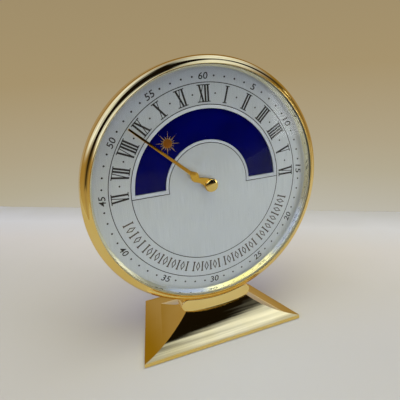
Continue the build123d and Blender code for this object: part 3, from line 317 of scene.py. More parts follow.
def eased(piece: Piece, width: float, segments: int = 2, angle: float = 30) -> Piece:
    """Rounds a piece's sharper edges.

    Args:
        piece: The piece.
        width: The rounding's width in mm.
        segments: How many facets it has.
        angle: How many degrees an edge has to turn by.

    Returns:
        The piece.
    """
    size = {"width": width * MM, "segments": segments, "angle_limit": radians(angle)}
    finish_modifier(piece, "BEVEL", limit_method="ANGLE", use_clamp_overlap=True, **size)
    return piece


def smooth(piece: Piece, angle: float = 40) -> Piece:
    """Shades a piece smooth, with its flats kept flat.

    Args:
        piece: The piece.
        angle: The edges that turn by fewer degrees than this are shaded over.

    Returns:
        The piece.
    """
    pick(piece)
    bpy.ops.object.shade_smooth_by_angle(angle=radians(angle))
    finish_modifier(piece, "WEIGHTED_NORMAL", keep_sharp=True, weight=100)
    return piece


def cut(piece: Piece, tool: Piece) -> Piece:
    """Cuts a tool out of a piece and takes the tool away.

    Args:
        piece: The piece.
        tool: The tool.

    Returns:
        The piece.
    """
    finish_modifier(piece, "BOOLEAN", operation="DIFFERENCE", object=tool, solver="EXACT")
    bpy.data.objects.remove(tool)
    return piece


def set_place(piece: Piece) -> None:
    """Puts a picked piece's place, turn and scale into its mesh."""
    pick(piece)
    bpy.ops.object.transform_apply(location=True, rotation=True, scale=True)


def stand(piece: Piece) -> Piece:
    """Stands a piece from the bench up at the dial.

    Args:
        piece: The piece, lying down.

    Returns:
        The piece, in place.
    """
    piece.rotation_euler = (pi / 2, 0, 0)
    piece.location = (0, DIAL_Y * MM, CENTRE_Z * MM)
    set_place(piece)
    return piece


def copied(piece: Piece, place: Matrix) -> Piece:
    """Copies a piece, its mesh too.

    Args:
        piece: The piece.
        place: How the copy is moved.

    Returns:
        The copy.
    """
    twin = piece.copy()
    twin.data = piece.data.copy()
    twin.data.transform(place)
    bpy.context.scene.collection.objects.link(twin)
    return twin


def set_round(pattern: Piece, radius: float, angle: float, aside: float = 0.0) -> Piece:
    """Sets a copy of a pattern on the dial, its feet to the centre.

    Args:
        pattern: The pattern, centred on the bench.
        radius: How far out it stands.
        angle: Its place in degrees clockwise from 12.
        aside: How far it stands to the right of that place.

    Returns:
        The copy.
    """
    spot = Matrix.Translation((aside * MM, radius * MM, 0))
    return copied(pattern, Matrix.Rotation(radians(-angle), 4, "Z") @ spot)


def joined(name: str, pieces: Sequence[Piece], *patterns: Piece) -> Piece:
    """Joins pieces into one and takes away the patterns that they were copied from.

    Args:
        name: The joined piece's name.
        pieces: The pieces.
        *patterns: The patterns.

    Returns:
        The joined piece.
    """
    for pattern in patterns:
        bpy.data.objects.remove(pattern)
    pick(*pieces)
    bpy.ops.object.join()
    pieces[0].name = name
    return pieces[0]


def refined(node: str, angle: float = 30) -> Piece:
    """Copies a CAD node, merges its loose triangles and shades it smooth.

    Args:
        node: The node's name.
        angle: The edges that turn by fewer degrees than this are shaded over.

    Returns:
        The copy.
    """
    source = frame["nodes"][node]
    piece = source.copy()
    piece.data = source.data.copy()
    piece.parent = None
    for key in list(piece.keys()):
        del piece[key]
    bpy.context.scene.collection.objects.link(piece)
    piece.name = f"{node}_finished"
    merge(piece, flat=0.2)
    return smooth(piece, angle)


# Finishes


def linear(colour: str) -> tuple[float, float, float, float]:
    """Turns an sRGB hex colour into linear red, green, blue and alpha."""
    parts = [int(colour[index : index + 2], 16) / 255 for index in (1, 3, 5)]
    return (*(part / 12.92 if part <= 0.04045 else ((part + 0.055) / 1.055) ** 2.4 for part in parts), 1.0)


def per_mm(size: float) -> float:
    """Returns the pattern scale whose features are about `size` mm apart."""
    return 1 / (size * MM)


def set_stops(ramp: bpy.types.ColorRamp, stops: Stops) -> None:
    """Gives a colour ramp its stops.

    Args:
        ramp: The ramp.
        stops: Its places and hex colours.
    """
    while len(ramp.elements) < len(stops):
        ramp.elements.new(1.0)
    for element, (place, colour) in zip(ramp.elements, stops):
        element.position = place
        element.color = linear(colour)


def add_node(tree: Tree, kind: str, inputs: dict[str | int, Any] | None = None, **settings: Any) -> Node:
    """Adds a node with its settings, values and links.

    Args:
        tree: The node tree.
        kind: The node's type name after ShaderNode.
        inputs: Values, sockets or nodes, by input name or number. A node is linked from its first
            output in use.
        **settings: The node's own properties, and the stops of a colour ramp.

    Returns:
        The node.
    """
    node = tree.nodes.new(f"ShaderNode{kind}")
    for name, value in settings.items():
        if name == "stops":
            set_stops(node.color_ramp, value)
        else:
            setattr(node, name, value)
    for key, value in (inputs or {}).items():
        if isinstance(value, Node):
            value = next(output for output in value.outputs if output.enabled)
        if isinstance(value, Socket):
            tree.links.new(value, node.inputs[key])
        else:
            node.inputs[key].default_value = value
    return node


def ramped(tree: Tree, value: Node | Socket, low: float, high: float, stops: Stops) -> Node:
    """Colours a value between two limits by a ramp's stops."""
    span = add_node(tree, "MapRange", {"Value": value, "From Min": low, "From Max": high})
    return add_node(tree, "ValToRGB", {"Fac": span}, stops=stops)


def weighted(tree: Tree, total: Node | Socket, *terms: tuple[Node | Socket, float]) -> Node:
    """Adds values to a first one.

    Args:
        tree: The node tree.
        total: The first value.
        *terms: The other values with their weights.

    Returns:
        The sum.
    """
    for value, weight in terms:
        total = add_node(tree, "Math", {0: value, 1: weight, 2: total}, operation="MULTIPLY_ADD")
    return total


def limited(tree: Tree, total: Node | float, *limits: tuple[Node | Socket, float, float]) -> Node:
    """Fades a value out past limits.

    Args:
        tree: The node tree.
        total: The value.
        *limits: What it depends on, where it has faded out, and where it is whole.

    Returns:
        The product.
    """
    for value, gone, whole in limits:
        ends = {"Value": value, "From Min": gone, "From Max": whole}
        step = add_node(tree, "MapRange", ends, interpolation_type="SMOOTHSTEP")
        total = add_node(tree, "Math", {0: total, 1: step}, operation="MULTIPLY")
    return total


@dataclass(frozen=True)
class Finish:
    """One finish. Its material is made once and shared by its pieces."""

    name: str
    colour: str
    roughness: float

    def material(self) -> bpy.types.Material:
        """Makes the finish's material the first time it is asked for.

        Returns:
            The material.
        """
        made = bpy.data.materials.get(self.name)
        if not made:
            made = bpy.data.materials.new(self.name)
            made.use_nodes = True
            made.node_tree.nodes.clear()
            made.diffuse_color = linear(self.colour)
            add_node(made.node_tree, "OutputMaterial", {"Surface": self.surface(made.node_tree)})
        return made

    def place(self, tree: Tree, stretch: Point3 = (1, 1, 1)) -> Node:
        """Adds Object coordinates with the dial's centre as zero.

        Args:
            tree: The material's nodes.
            stretch: How many times larger they are along each axis.

        Returns:
            The node that gives them.
        """
        where = add_node(tree, "TexCoord").outputs["Object"]
        centre = tuple(-part * factor * MM for part, factor in zip((0, DIAL_Y, CENTRE_Z), stretch))
        return add_node(tree, "Mapping", {"Vector": where, "Location": centre, "Scale": stretch})

    def shader(
        self, tree: Tree, tone: Node, stops: Stops, relief: Node, dent: Point, values: dict[str, Any]
    ) -> Node:
        """Adds the shader, whose tone and height follow patterns.

        Args:
            tree: The material's nodes.
            tone: The pattern that its tone follows.
            stops: The tone's places and hex colours.
            relief: The pattern that its height follows.
            dent: How strong the relief is, and how deep in mm.
            values: The shader's other values and links.

        Returns:
            The shader.
        """
        colour = add_node(tree, "ValToRGB", {"Fac": tone}, stops=stops)
        height = add_node(tree, "Bump", {"Height": relief, "Strength": dent[0], "Distance": dent[1] * MM})
        return add_node(tree, "BsdfPrincipled", {"Base Color": colour, "Normal": height} | values)

    def surface(self, tree: Tree) -> Node:
        """Adds the finish's nodes to its material's tree and returns its shader."""
        raise NotImplementedError


@dataclass(frozen=True)
class GoldPlate(Finish):
    """Gold plate on turned brass: a deep yellow mirror, with polishing haze and faint waves.

    The haze is a few tens of mm across. The waves, `wave_size` mm apart, bend what the metal mirrors.
    """

    haze: float = 0.05
    haze_size: float = 26.0
    scratch_size: float = 0.9
    waviness: float = 0.06
    wave_size: float = 9.0
    wave_depth: float = 0.4
    deep: str = "#D9A637"

    def surface(self, tree: Tree) -> Node:
        """Adds a metal whose tone, roughness and height vary a little.

        Args:
            tree: The material's nodes.

        Returns:
            The shader.
        """
        at = {"Vector": self.place(tree)}
        soft = {"Scale": per_mm(self.haze_size), "Detail": 4.0, "Roughness": 0.55}
        cloud = add_node(tree, "TexNoise", at | soft)
        fine = {"Scale": per_mm(self.scratch_size), "Detail": 3.0, "Distortion": 0.6}
        scratches = add_node(tree, "TexNoise", at | fine)
        wave = add_node(tree, "TexNoise", at | {"Scale": per_mm(self.wave_size), "Detail": 1.0})
        worn = add_node(tree, "Math", {0: cloud, 1: scratches}, operation="MULTIPLY")
        span = {"From Min": 0.1, "From Max": 0.45, "To Min": self.roughness}
        rough = add_node(tree, "MapRange", {"Value": worn, "To Max": self.roughness + self.haze} | span)
        tones = [(0.3, self.colour), (0.75, self.deep)]
        dent = (self.waviness, self.wave_depth)
        return self.shader(tree, cloud, tones, wave, dent, {"Metallic": 1.0, "Roughness": rough})


@dataclass(frozen=True)
class TurnedPlate(Finish):
    """Gold plate on lathe-turned brass left satin: soft light drawn out by rings a quarter mm apart.

    The tool's feed also varies its tone from ring to ring, about `feed_size` mm apart.
    """

    ring: float = 0.25
    feed_size: float = 1.8
    groove: Point = (0.12, 0.02)
    deep: str = "#DBAE55"

    def surface(self, tree: Tree) -> Node:
        """Adds a satin metal with fine rings about the dial's axis.

        Args:
            tree: The material's nodes.

        Returns:
            The shader.
        """
        flat = add_node(tree, "VectorMath", {0: self.place(tree), 1: (1, 0, 1)}, operation="MULTIPLY")
        radius = add_node(tree, "VectorMath", {0: flat}, operation="LENGTH")
        turns = add_node(tree, "Math", {0: radius, 1: FULL_TURN * per_mm(self.ring)}, operation="MULTIPLY")
        rings = add_node(tree, "Math", {0: turns}, operation="SINE")
        along = {"W": radius, "Scale": per_mm(self.feed_size), "Detail": 5.0}
        feed = add_node(tree, "TexNoise", along, noise_dimensions="1D")
        span = {"To Min": self.roughness - 0.06, "To Max": self.roughness + 0.08}
        rough = add_node(tree, "MapRange", {"Value": feed} | span)
        tones = [(0.3, self.colour), (0.75, self.deep)]
        return self.shader(tree, feed, tones, rings, self.groove, {"Metallic": 1.0, "Roughness": rough})


@dataclass(frozen=True)
class BrushedMetal(Finish):
    """Brushed metal: a soft sheen with fine lines drawn along one direction.

    `grain` is the spacing of the lines across x, y and z in mm: long along the brush's way.
    """

    grain: Point3 = (0.25, 0.25, 9.0)
    deep: str = "#808488"
    metallic: float = 1.0
    strength: float = 0.1
    groove: float = 0.03

    def surface(self, tree: Tree) -> Node:
        """Adds a metal whose tone, gloss and height follow the brush.

        Args:
            tree: The material's nodes.

        Returns:
            The shader.
        """
        at = {"Vector": self.place(tree, tuple(per_mm(size) for size in self.grain))}
        lines = add_node(tree, "TexNoise", at | {"Scale": 1.0, "Detail": 5.0, "Roughness": 0.6})
        span = {"To Min": self.roughness - 0.08, "To Max": self.roughness + 0.1}
        rough = add_node(tree, "MapRange", {"Value": lines} | span)
        tones = [(0.3, self.deep), (0.7, self.colour)]
        values = {"Metallic": self.metallic, "Roughness": rough}
        return self.shader(tree, lines, tones, lines, (self.strength, self.groove), values)


@dataclass(frozen=True)
class PearledBrass(Finish):
    """Movement brass with pearled graining: overlapping brushed spots about 1.6 mm apart."""

    spot: float = 1.6
    strokes: float = 5.0
    groove: Point = (0.08, 0.02)
    deep: str = "#A9853C"

    def surface(self, tree: Tree) -> Node:
        """Adds a satin metal whose tone and height swirl round each spot.

        Args:
            tree: The material's nodes.

        Returns:
            The shader.
        """
        spread = {"Vector": self.place(tree), "Scale": per_mm(self.spot), "Randomness": 0.15}
        spots = add_node(tree, "TexVoronoi", spread)
        swirl = add_node(tree, "Math", {0: spots, 1: self.strokes * FULL_TURN}, operation="MULTIPLY")
        grooves = add_node(tree, "Math", {0: swirl}, operation="SINE")
        tones = [(0.0, self.colour), (0.8, self.deep)]
        values = {"Metallic": 1.0, "Roughness": self.roughness}
        return self.shader(tree, spots, tones, grooves, self.groove, values)


@dataclass(frozen=True)
class Lacquer(Finish):
    """A coat of colour with a gloss, such as lacquer, printing ink or rubber.

    Its tone drifts over `spread` mm, and its surface has a fine grain, `grain` mm across.
    """

    deep: str = "#000030"
    grain: float = 0.4
    strength: float = 0.05
    grain_depth: float = 0.05
    specular: float = 0.5
    spread: float = 22.0

    def surface(self, tree: Tree) -> Node:
        """Adds a coat whose tone drifts slowly and whose surface has a fine grain.

        Args:
            tree: The material's nodes.

        Returns:
            The shader.
        """
        at = {"Vector": self.place(tree)}
        drift = add_node(tree, "TexNoise", at | {"Scale": per_mm(self.spread), "Detail": 2.0})
        grain = add_node(tree, "TexNoise", at | {"Scale": per_mm(self.grain), "Detail": 3.0})
        tones = [(0.35, self.colour), (0.7, self.deep)]
        gloss = {"Roughness": self.roughness, "Specular IOR Level": self.specular}
        return self.shader(tree, drift, tones, grain, (self.strength, self.grain_depth), gloss)


@dataclass(frozen=True)
class Felt(Finish):
    """Pressed wool felt: matt, with a soft sheen and matted fibres about half a mm apart."""

    deep: str = "#122A18"
    fibre: float = 0.5
    pile: Point = (0.6, 0.15)

    def surface(self, tree: Tree) -> Node:
        """Adds a rough cloth with fibres in its tone and height.

        Args:
            tree: The material's nodes.

        Returns:
            The shader.
        """
        matted = {"Scale": per_mm(self.fibre), "Detail": 8.0, "Roughness": 0.75, "Distortion": 2.0}
        fibres = add_node(tree, "TexNoise", {"Vector": self.place(tree)} | matted)
        tones = [(0.35, self.deep), (0.65, self.colour)]
        values = {"Roughness": self.roughness, "Sheen Weight": 0.5}
        return self.shader(tree, fibres, tones, fibres, self.pile, values)


@dataclass(frozen=True)
class Clear(Finish):
    """A clear solid, such as mineral glass or synthetic ruby: Fresnel gloss and true refraction.

    A shadow ray passes it, so that lamps light what lies behind. Faint smears vary the gloss.
    """

    ior: float = 1.5
    smear: float = 0.02
    smear_size: float = 18.0

    def surface(self, tree: Tree) -> Node:
        """Adds glass that lets lamps through.

        Args:
            tree: The material's nodes.

        Returns:
            The shader.
        """
        wiped = {"Scale": per_mm(self.smear_size), "Detail": 3.0, "Distortion": 1.2}
        smears = add_node(tree, "TexNoise", {"Vector": self.place(tree)} | wiped)
        span = {"From Min": 0.45, "From Max": 0.75, "To Min": self.roughness}
        rough = add_node(tree, "MapRange", {"Value": smears, "To Max": self.roughness + self.smear} | span)
        tint = linear(self.colour)
        solid = {"Base Color": tint, "Roughness": rough, "IOR": self.ior, "Transmission Weight": 1.0}
        glass = add_node(tree, "BsdfPrincipled", solid)
        through = add_node(tree, "BsdfTransparent", {"Color": tint})
        shadow = add_node(tree, "LightPath").outputs["Is Shadow Ray"]
        return add_node(tree, "MixShader", {0: shadow, 1: glass, 2: through})


@dataclass(frozen=True)
class TablePaint(Finish):
    """Matt paint on a table top: soft and a little mottled. Its tone changes from front to rear as painted
    light.
    """

    turn: float = 0.0
    front: float = -1.0
    rear: float = 1.0
    mottle_size: float = 40.0
    mottle: float = 0.012
    stops: Stops = ()

    def surface(self, tree: Tree) -> Node:
        """Adds a matt coat whose tone follows the distance from the front edge, as painted light.

        Args:
            tree: The material's nodes.

        Returns:
            The shader.
        """
        where = add_node(tree, "TexCoord").outputs["Object"]
        inward = (-sin(radians(self.turn)), cos(radians(self.turn)), 0)
        depth = add_node(tree, "VectorMath", {0: where, 1: inward}, operation="DOT_PRODUCT")
        spots = {"Vector": where, "Scale": per_mm(self.mottle_size), "Detail": 4.0}
        cloud = add_node(tree, "TexNoise", spots)
        shift = add_node(tree, "MapRange", {"Value": cloud, "To Min": -self.mottle, "To Max": self.mottle})
        tone = ramped(tree, weighted(tree, shift, (depth, 1.0)), self.front, self.rear, self.stops)
        return add_node(tree, "BsdfPrincipled", {"Base Color": tone, "Roughness": self.roughness})


# Gold plate over polished brass: a mirror, so its look is its surroundings in yellow
GILT = GoldPlate("gold_plate_polished", "#F5D684", 0.015, deep="#F0CD72")
# The neck is lapped a little less bright than the turned rings, so its mirror image is blurred. Its gold is
# paler than the rings': painted light, raised to match the bright table that it mirrors.
GILT_LAPPED = GoldPlate("gold_plate_lapped", "#FCE092", 0.07, haze=0.06, waviness=0.03, deep="#F3D17C")
# The ring round the dial is plated pale and mirrors the print
CHAMPAGNE = GoldPlate("champagne_plate_polished", "#F8F1D2", 0.03, waviness=0.03, deep="#F0E6BE")
# The can and its cover are left as turned: satin, with a fan of light across fine rings
GILT_TURNED = TurnedPlate("gold_plate_satin_turned", "#E7BC62", 0.3)
# The hand is a narrow flat mirror, gold where it mirrors the pale floor and black beyond it
GILT_HAND = GoldPlate(
    "gold_plate_hand", "#EFC153", 0.03, haze=0.03, waviness=0.03, wave_size=4.0, deep="#C8922A"
)
# The rays are pressed thin and half matt, so they stay pale on the dark disc
GILT_PALE = GoldPlate("gold_plate_rays", "#DDB880", 0.22, haze=0.1, waviness=0.02, deep="#C9A874")
# The sun's body is a darker, redder and matter gold than its rays
GILT_RED = GoldPlate("gold_plate_red", "#B5702A", 0.38, haze=0.1, waviness=0.1, wave_size=1.2, deep="#7A4412")
# Mineral glass with an anti-reflection coating, hence the low index: the dial shows without a veil
MINERAL_GLASS = Clear("mineral_glass", "#FAFCFC", 0.0, ior=1.17)
# Polished synthetic ruby: small deep red jewels and pallets
RUBY = Clear("synthetic_ruby", "#B0122C", 0.02, ior=1.76)
# Silvered brass brushed upright and sealed with clear lacquer: bluish pale grey and satin
SILVERED = BrushedMetal(
    "silvered_brass_brushed", "#D6D9DB", 0.3,
    grain=(0.22, 5.0, 14.0), deep="#C4C8CB", metallic=0.68, strength=0.06,
)
# Printing ink pressed on by a pad: brown black and half matt, and browner where it lies thin
PRINT_INK = Lacquer("pad_printed_ink", "#1C130C", 0.5, deep="#150E08", grain=0.2, strength=0.1)
LIGHT_INK = Lacquer("pad_printed_ink_thin", "#483A2C", 0.5, deep="#3A2D20", grain=0.2, strength=0.1)
# The margin is printed in a white that looks paler than the silver, as it doesn't mirror the room
WHITE_MARGIN = Lacquer("white_print", "#B2B4BC", 0.45, deep="#A8AAB2", grain=0.3, strength=0.04)
# Lacquer sprayed on the disc: deep blue and even, with little gloss of its own
NAVY = Lacquer("navy_lacquer", "#01034C", 0.12, deep="#010239", specular=0.1, strength=0.01)
# Moulded silicone: pale, matt and finely grained
RUBBER = Lacquer("silicone_rubber_pale", "#A8A394", 0.6, deep="#969182", grain=0.15, strength=0.3)
WOOL_FELT = Felt("wool_felt", "#274A30", 0.95)
# Steel polished and lightly grained: a grey gleam on screws, plate and lever
STEEL = BrushedMetal("polished_steel", "#B4B7BA", 0.22, grain=(0.3, 6.0, 0.3), deep="#8E9295")
# Steel tempered blue: a dark blue gleam on the springs
BLUED_STEEL = BrushedMetal("blued_steel", "#3A4C7E", 0.25, grain=(0.3, 4.0, 0.3), deep="#232C55")
MOVEMENT_BRASS = PearledBrass("movement_brass_pearled", "#D2AC5A", 0.3)

SLOT_FINISHES = {
    Slot.GILT: GILT,
    Slot.GILT_SATIN: GILT_TURNED,
    Slot.GOLD_HAND: GILT_HAND,
    Slot.CRYSTAL: MINERAL_GLASS,
    Slot.GASKET: RUBBER,
    Slot.DIAL: SILVERED,
    Slot.NAVY: NAVY,
    Slot.FELT: WOOL_FELT,
    Slot.STEEL: STEEL,
    Slot.BRASS: MOVEMENT_BRASS,
    Slot.SPRING: BLUED_STEEL,
    Slot.RUBY: RUBY,
}


def dress_in(piece: Piece, finish: Finish) -> None:
    """Gives a piece one finish all over."""
    piece.data.materials.clear()
    piece.data.materials.append(finish.material())


def settle(piece: Piece, body: Body, slot: Slot, finish: Finish, *nodes: str) -> None:
    """Dresses a finished piece, hangs it on its body and hides the CAD nodes that it stands for.

    Args:
        piece: The piece, in place.
        body: The body that it rides on.
        slot: Not used.
        finish: Its finish.
        *nodes: The CAD nodes that it stands for.
    """
    dress_in(piece, finish)
    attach(piece, body.value)
    if nodes:
        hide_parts(*nodes)
    log.info("%s rides on %s, %d faces", piece.name, body.value, len(piece.data.polygons))


# Sub-assemblies


@dataclass
class Case:
    """The turned case: bezel, polished ring, glass and wall. Profiles are pairs of radius and height."""

    radius: float = 65.0
    seam: float = -0.5
    rebate: Point = (62.6, 2.45)
    glass_nest: Point = (61.45, 4.3)
    lip: Point = (60.6, 4.9)
    cove_edge: Point = (60.9, 4.9)
    cove_depth: float = 0.22
    band_edge: Point = (62.8, 3.8)
    band_shoulder: Point = (65.0, 1.7)
    band_swell: float = 0.28
    ease: float = 0.12
    reflector_profile: tuple[Point, ...] = ((59.4, 0.0), (60.3, 2.6), (61.4, 2.6), (61.4, 0.0))
    reflector_ease: float = 0.06
    glass_radius: float = 61.4
    glass_foot: float = 2.9
    glass: float = 1.4
    dome_radius: float = 60.2
    dome_top: float = 8.9
    wall_profile: tuple[Point, ...] = (
        (28.0, -5.5), (65.0, -5.5), (65.0, -0.5), (62.55, -0.5), (62.55, 2.4),
        (61.45, 2.4), (61.45, -0.8), (58.95, -0.8), (58.95, -4.3), (28.0, -4.3),
    )
    wall_ease: float = 0.2

    def bezel(self) -> Piece:
        """Turns the bezel, with a rounded band, a hollow and a thin lip.

        Returns:
            The piece, in place.
        """
        profile = [
            (self.rebate[0], self.seam),
            self.rebate,
            (self.glass_nest[0], self.rebate[1]),
            self.glass_nest,
            (self.lip[0], self.glass_nest[1]),
            self.lip,
            *bulge(self.cove_edge, self.band_edge, -self.cove_depth, 9),
            *bulge(self.band_edge, self.band_shoulder, self.band_swell, 11)[1:],
            (self.radius, self.seam),
        ]
        bezel = stand(turned("bezel_turned", profile, steps=300))
        return smooth(eased(bezel, self.ease, angle=35), angle=38)

    def reflector(self) -> Piece:
        """Turns the polished ring between the dial and the glass, and returns it in place."""
        ring = turned("reflector_turned", self.reflector_profile, steps=300)
        return smooth(eased(stand(ring), self.reflector_ease), angle=35)

    def crystal(self) -> Piece:
        """Turns the domed glass with its flange.

        Returns:
            The piece, in place.
        """
        rise = self.dome_top - self.glass_foot - self.glass
        sphere = (self.dome_radius**2 + rise**2) / (2 * rise)
        reach = degrees(asin(self.dome_radius / sphere))
        outer = arc(sphere, 90, 90 - reach, 40, (0, self.dome_top - sphere))
        inner = [(radius, ahead - self.glass) for radius, ahead in outer[::-1]]
        flange = [(self.glass_radius, self.glass_foot + height) for height in (self.glass, 0)]
        return smooth(stand(turned("crystal_domed", [*outer, *flange, *inner])), angle=30)

    def wall(self) -> Piece:
        """Turns outer wall, spigot under the bezel, shoulder and rear pan in one, and returns it in place."""
        wall = stand(turned("case_wall_turned", self.wall_profile, steps=300))
        return smooth(eased(wall, self.wall_ease, segments=3, angle=35), angle=38)

    def dress(self) -> None:
        """Builds and settles the case's pieces."""
        settle(self.bezel(), Body.CLOCK, Slot.GILT, GILT, "bezel")
        settle(self.reflector(), Body.CLOCK, Slot.GILT, CHAMPAGNE, "reflector_ring")
        settle(self.crystal(), Body.CLOCK, Slot.CRYSTAL, MINERAL_GLASS, "crystal")
        settle(self.wall(), Body.CLOCK, Slot.GILT, GILT, "case_ring")


@dataclass
class Foot:
    """The foot: hollow-ground faces from a thin slab up to a saddle, and the bent neck on it."""

    front_half: float = 46.0
    rear_half: float = 32.4
    half_depth: float = 27.05
    gap: float = 0.4
    slab: float = 2.5
    top: float = 16.42
    top_front: float = -14.65
    top_rear: float = -7.25
    side_reach: float = 23.65
    front_hollow: float = 1.3
    side_hollow: float = 2.1
    rear_hollow: float = 1.6
    wheel_width: float = 300.0
    wheel_facets: int = 720
    saddle: float = 72.0
    saddle_cutter: Point = (-60, 120)
    ease: float = 0.35
    margin: float = 1.45
    recess: float = 2.0
    neck_thickness: float = 7.0
    neck_sweep: float = 14.47
    neck_front: float = 1.9
    neck_back: float = -5.5
    neck_ease: float = 0.45

    def grind(self, piece: Piece, foot: Point, crown: Point, hollow: float, place: Matrix) -> None:
        """Grinds one face hollow with a wheel.

        Args:
            piece: The piece.
            foot: The face's lower edge, as distance outward and height.
            crown: The face's upper edge.
            hollow: How deep the face is ground.
            place: How the wheel is moved, from grinding a face whose outside is at -Y.
        """
        chord = hypot(foot[0] - crown[0], foot[1] - crown[1])
        radius = (chord**2 / 4 + hollow**2) / (2 * hollow)
        out = ((crown[1] - foot[1]) / chord, (foot[0] - crown[0]) / chord)
        reach, height = ((a + b) / 2 + way * (radius - hollow) for a, b, way in zip(foot, crown, out))
        deselect()
        bpy.ops.mesh.primitive_cylinder_add(
            vertices=self.wheel_facets,
            radius=radius * MM,
            depth=self.wheel_width * MM,
            location=(0, -reach * MM, height * MM),
            rotation=(0, pi / 2, 0),
        )
        wheel = bpy.context.object
        set_place(wheel)
        wheel.data.transform(place)
        cut(piece, wheel)

    def body(self) -> Piece:
        """Cuts the foot from a block: taper, recess underneath, hollows, saddle and eased edges.

        Returns:
            The foot, in place.
        """
        deselect()
        bpy.ops.mesh.primitive_cube_add(size=1, location=(0, 0, (self.gap + self.top) / 2 * MM))
        piece = bpy.context.object
        piece.name = "foot_ground"
        piece.scale = (2 * self.front_half * MM, 2 * self.half_depth * MM, (self.top - self.gap) * MM)
        set_place(piece)
        taper = atan2(self.front_half - self.rear_half, 2 * self.half_depth)
        corners = {side: (side * self.front_half * MM, -self.half_depth * MM, 0) for side in (1, -1)}
        with editing(piece):
            for side, corner in corners.items():
                bpy.ops.mesh.select_all(action="SELECT")
                outward = (side * cos(taper), sin(taper), 0)
                bpy.ops.mesh.bisect(plane_co=corner, plane_no=outward, use_fill=True, clear_outer=True)
            select_faces(piece, lambda normal: normal.z < -0.9)
            bpy.ops.mesh.inset(thickness=self.margin * MM, use_even_offset=True)
            deep = (0, 0, (self.recess - self.gap) * MM)
            bpy.ops.mesh.extrude_region_move(TRANSFORM_OT_translate={"value": deep})
            face_outward()
        edge = (self.half_depth, self.slab)
        self.grind(piece, edge, (-self.top_front, self.top), self.front_hollow, Matrix.Identity(4))
        self.grind(piece, edge, (self.top_rear, self.top), self.rear_hollow, Matrix.Rotation(pi, 4, "Z"))
        for side, corner in corners.items():
            place = Matrix.Translation(corner) @ Matrix.Rotation(side * (pi / 2 + taper), 4, "Z")
            self.grind(piece, (0, self.slab), (-self.side_reach, self.top), self.side_hollow, place)
        cut(piece, stand(blanked("saddle", arc(self.saddle, 0, 359.5, 720), *self.saddle_cutter)))
        merge(piece, flat=0.05)
        return smooth(eased(piece, self.ease, segments=3, angle=28), angle=33)

    def neck(self) -> Piece:
        """Shapes the bar that is bent round the case, with rounded ends and eased front edges.

        Returns:
            The neck, in place.
        """
        half = self.neck_thickness / 2
        middle = self.saddle - half
        left, right = -90 - self.neck_sweep, -90 + self.neck_sweep
        points = [
            *arc(middle + half, left, right, 40),
            *arc(half, right, right + 180, 24, polar(middle, right))[1:-1],
            *arc(middle - half, right, left, 40),
            *arc(half, left + 180, left + 360, 24, polar(middle, left))[1:-1],
        ]
        piece = blanked("neck_bent", points, self.neck_back, self.neck_front - self.neck_back)
        return smooth(eased(stand(piece), self.neck_ease, segments=4, angle=60), angle=33)

    def dress(self) -> None:
        """Builds and settles the foot's pieces."""
        settle(self.body(), Body.CLOCK, Slot.GILT, GILT, "foot_body")
        settle(self.neck(), Body.CLOCK, Slot.GILT, GILT_LAPPED, "neck_block")


@dataclass(frozen=True)
class Letter:
    """A Roman letter: its advance, its strokes as foot, head and whether thick, and its feet's serifs."""

    advance: float
    strokes: tuple[tuple[float, float, bool], ...]
    footed: bool = True


ROMAN = {
    "I": Letter(1.45, ((0.0, 0.0, True),)),
    "V": Letter(3.1, ((0.05, -1.05, True), (0.05, 1.15, False)), footed=False),
    "X": Letter(3.0, ((1.05, -1.05, True), (-1.1, 1.1, False))),
}
HOURS = ("VI", "VII", "VIII", "IX", "X", "XI", "XII", "I", "II", "III", "IIII", "V", "VI")


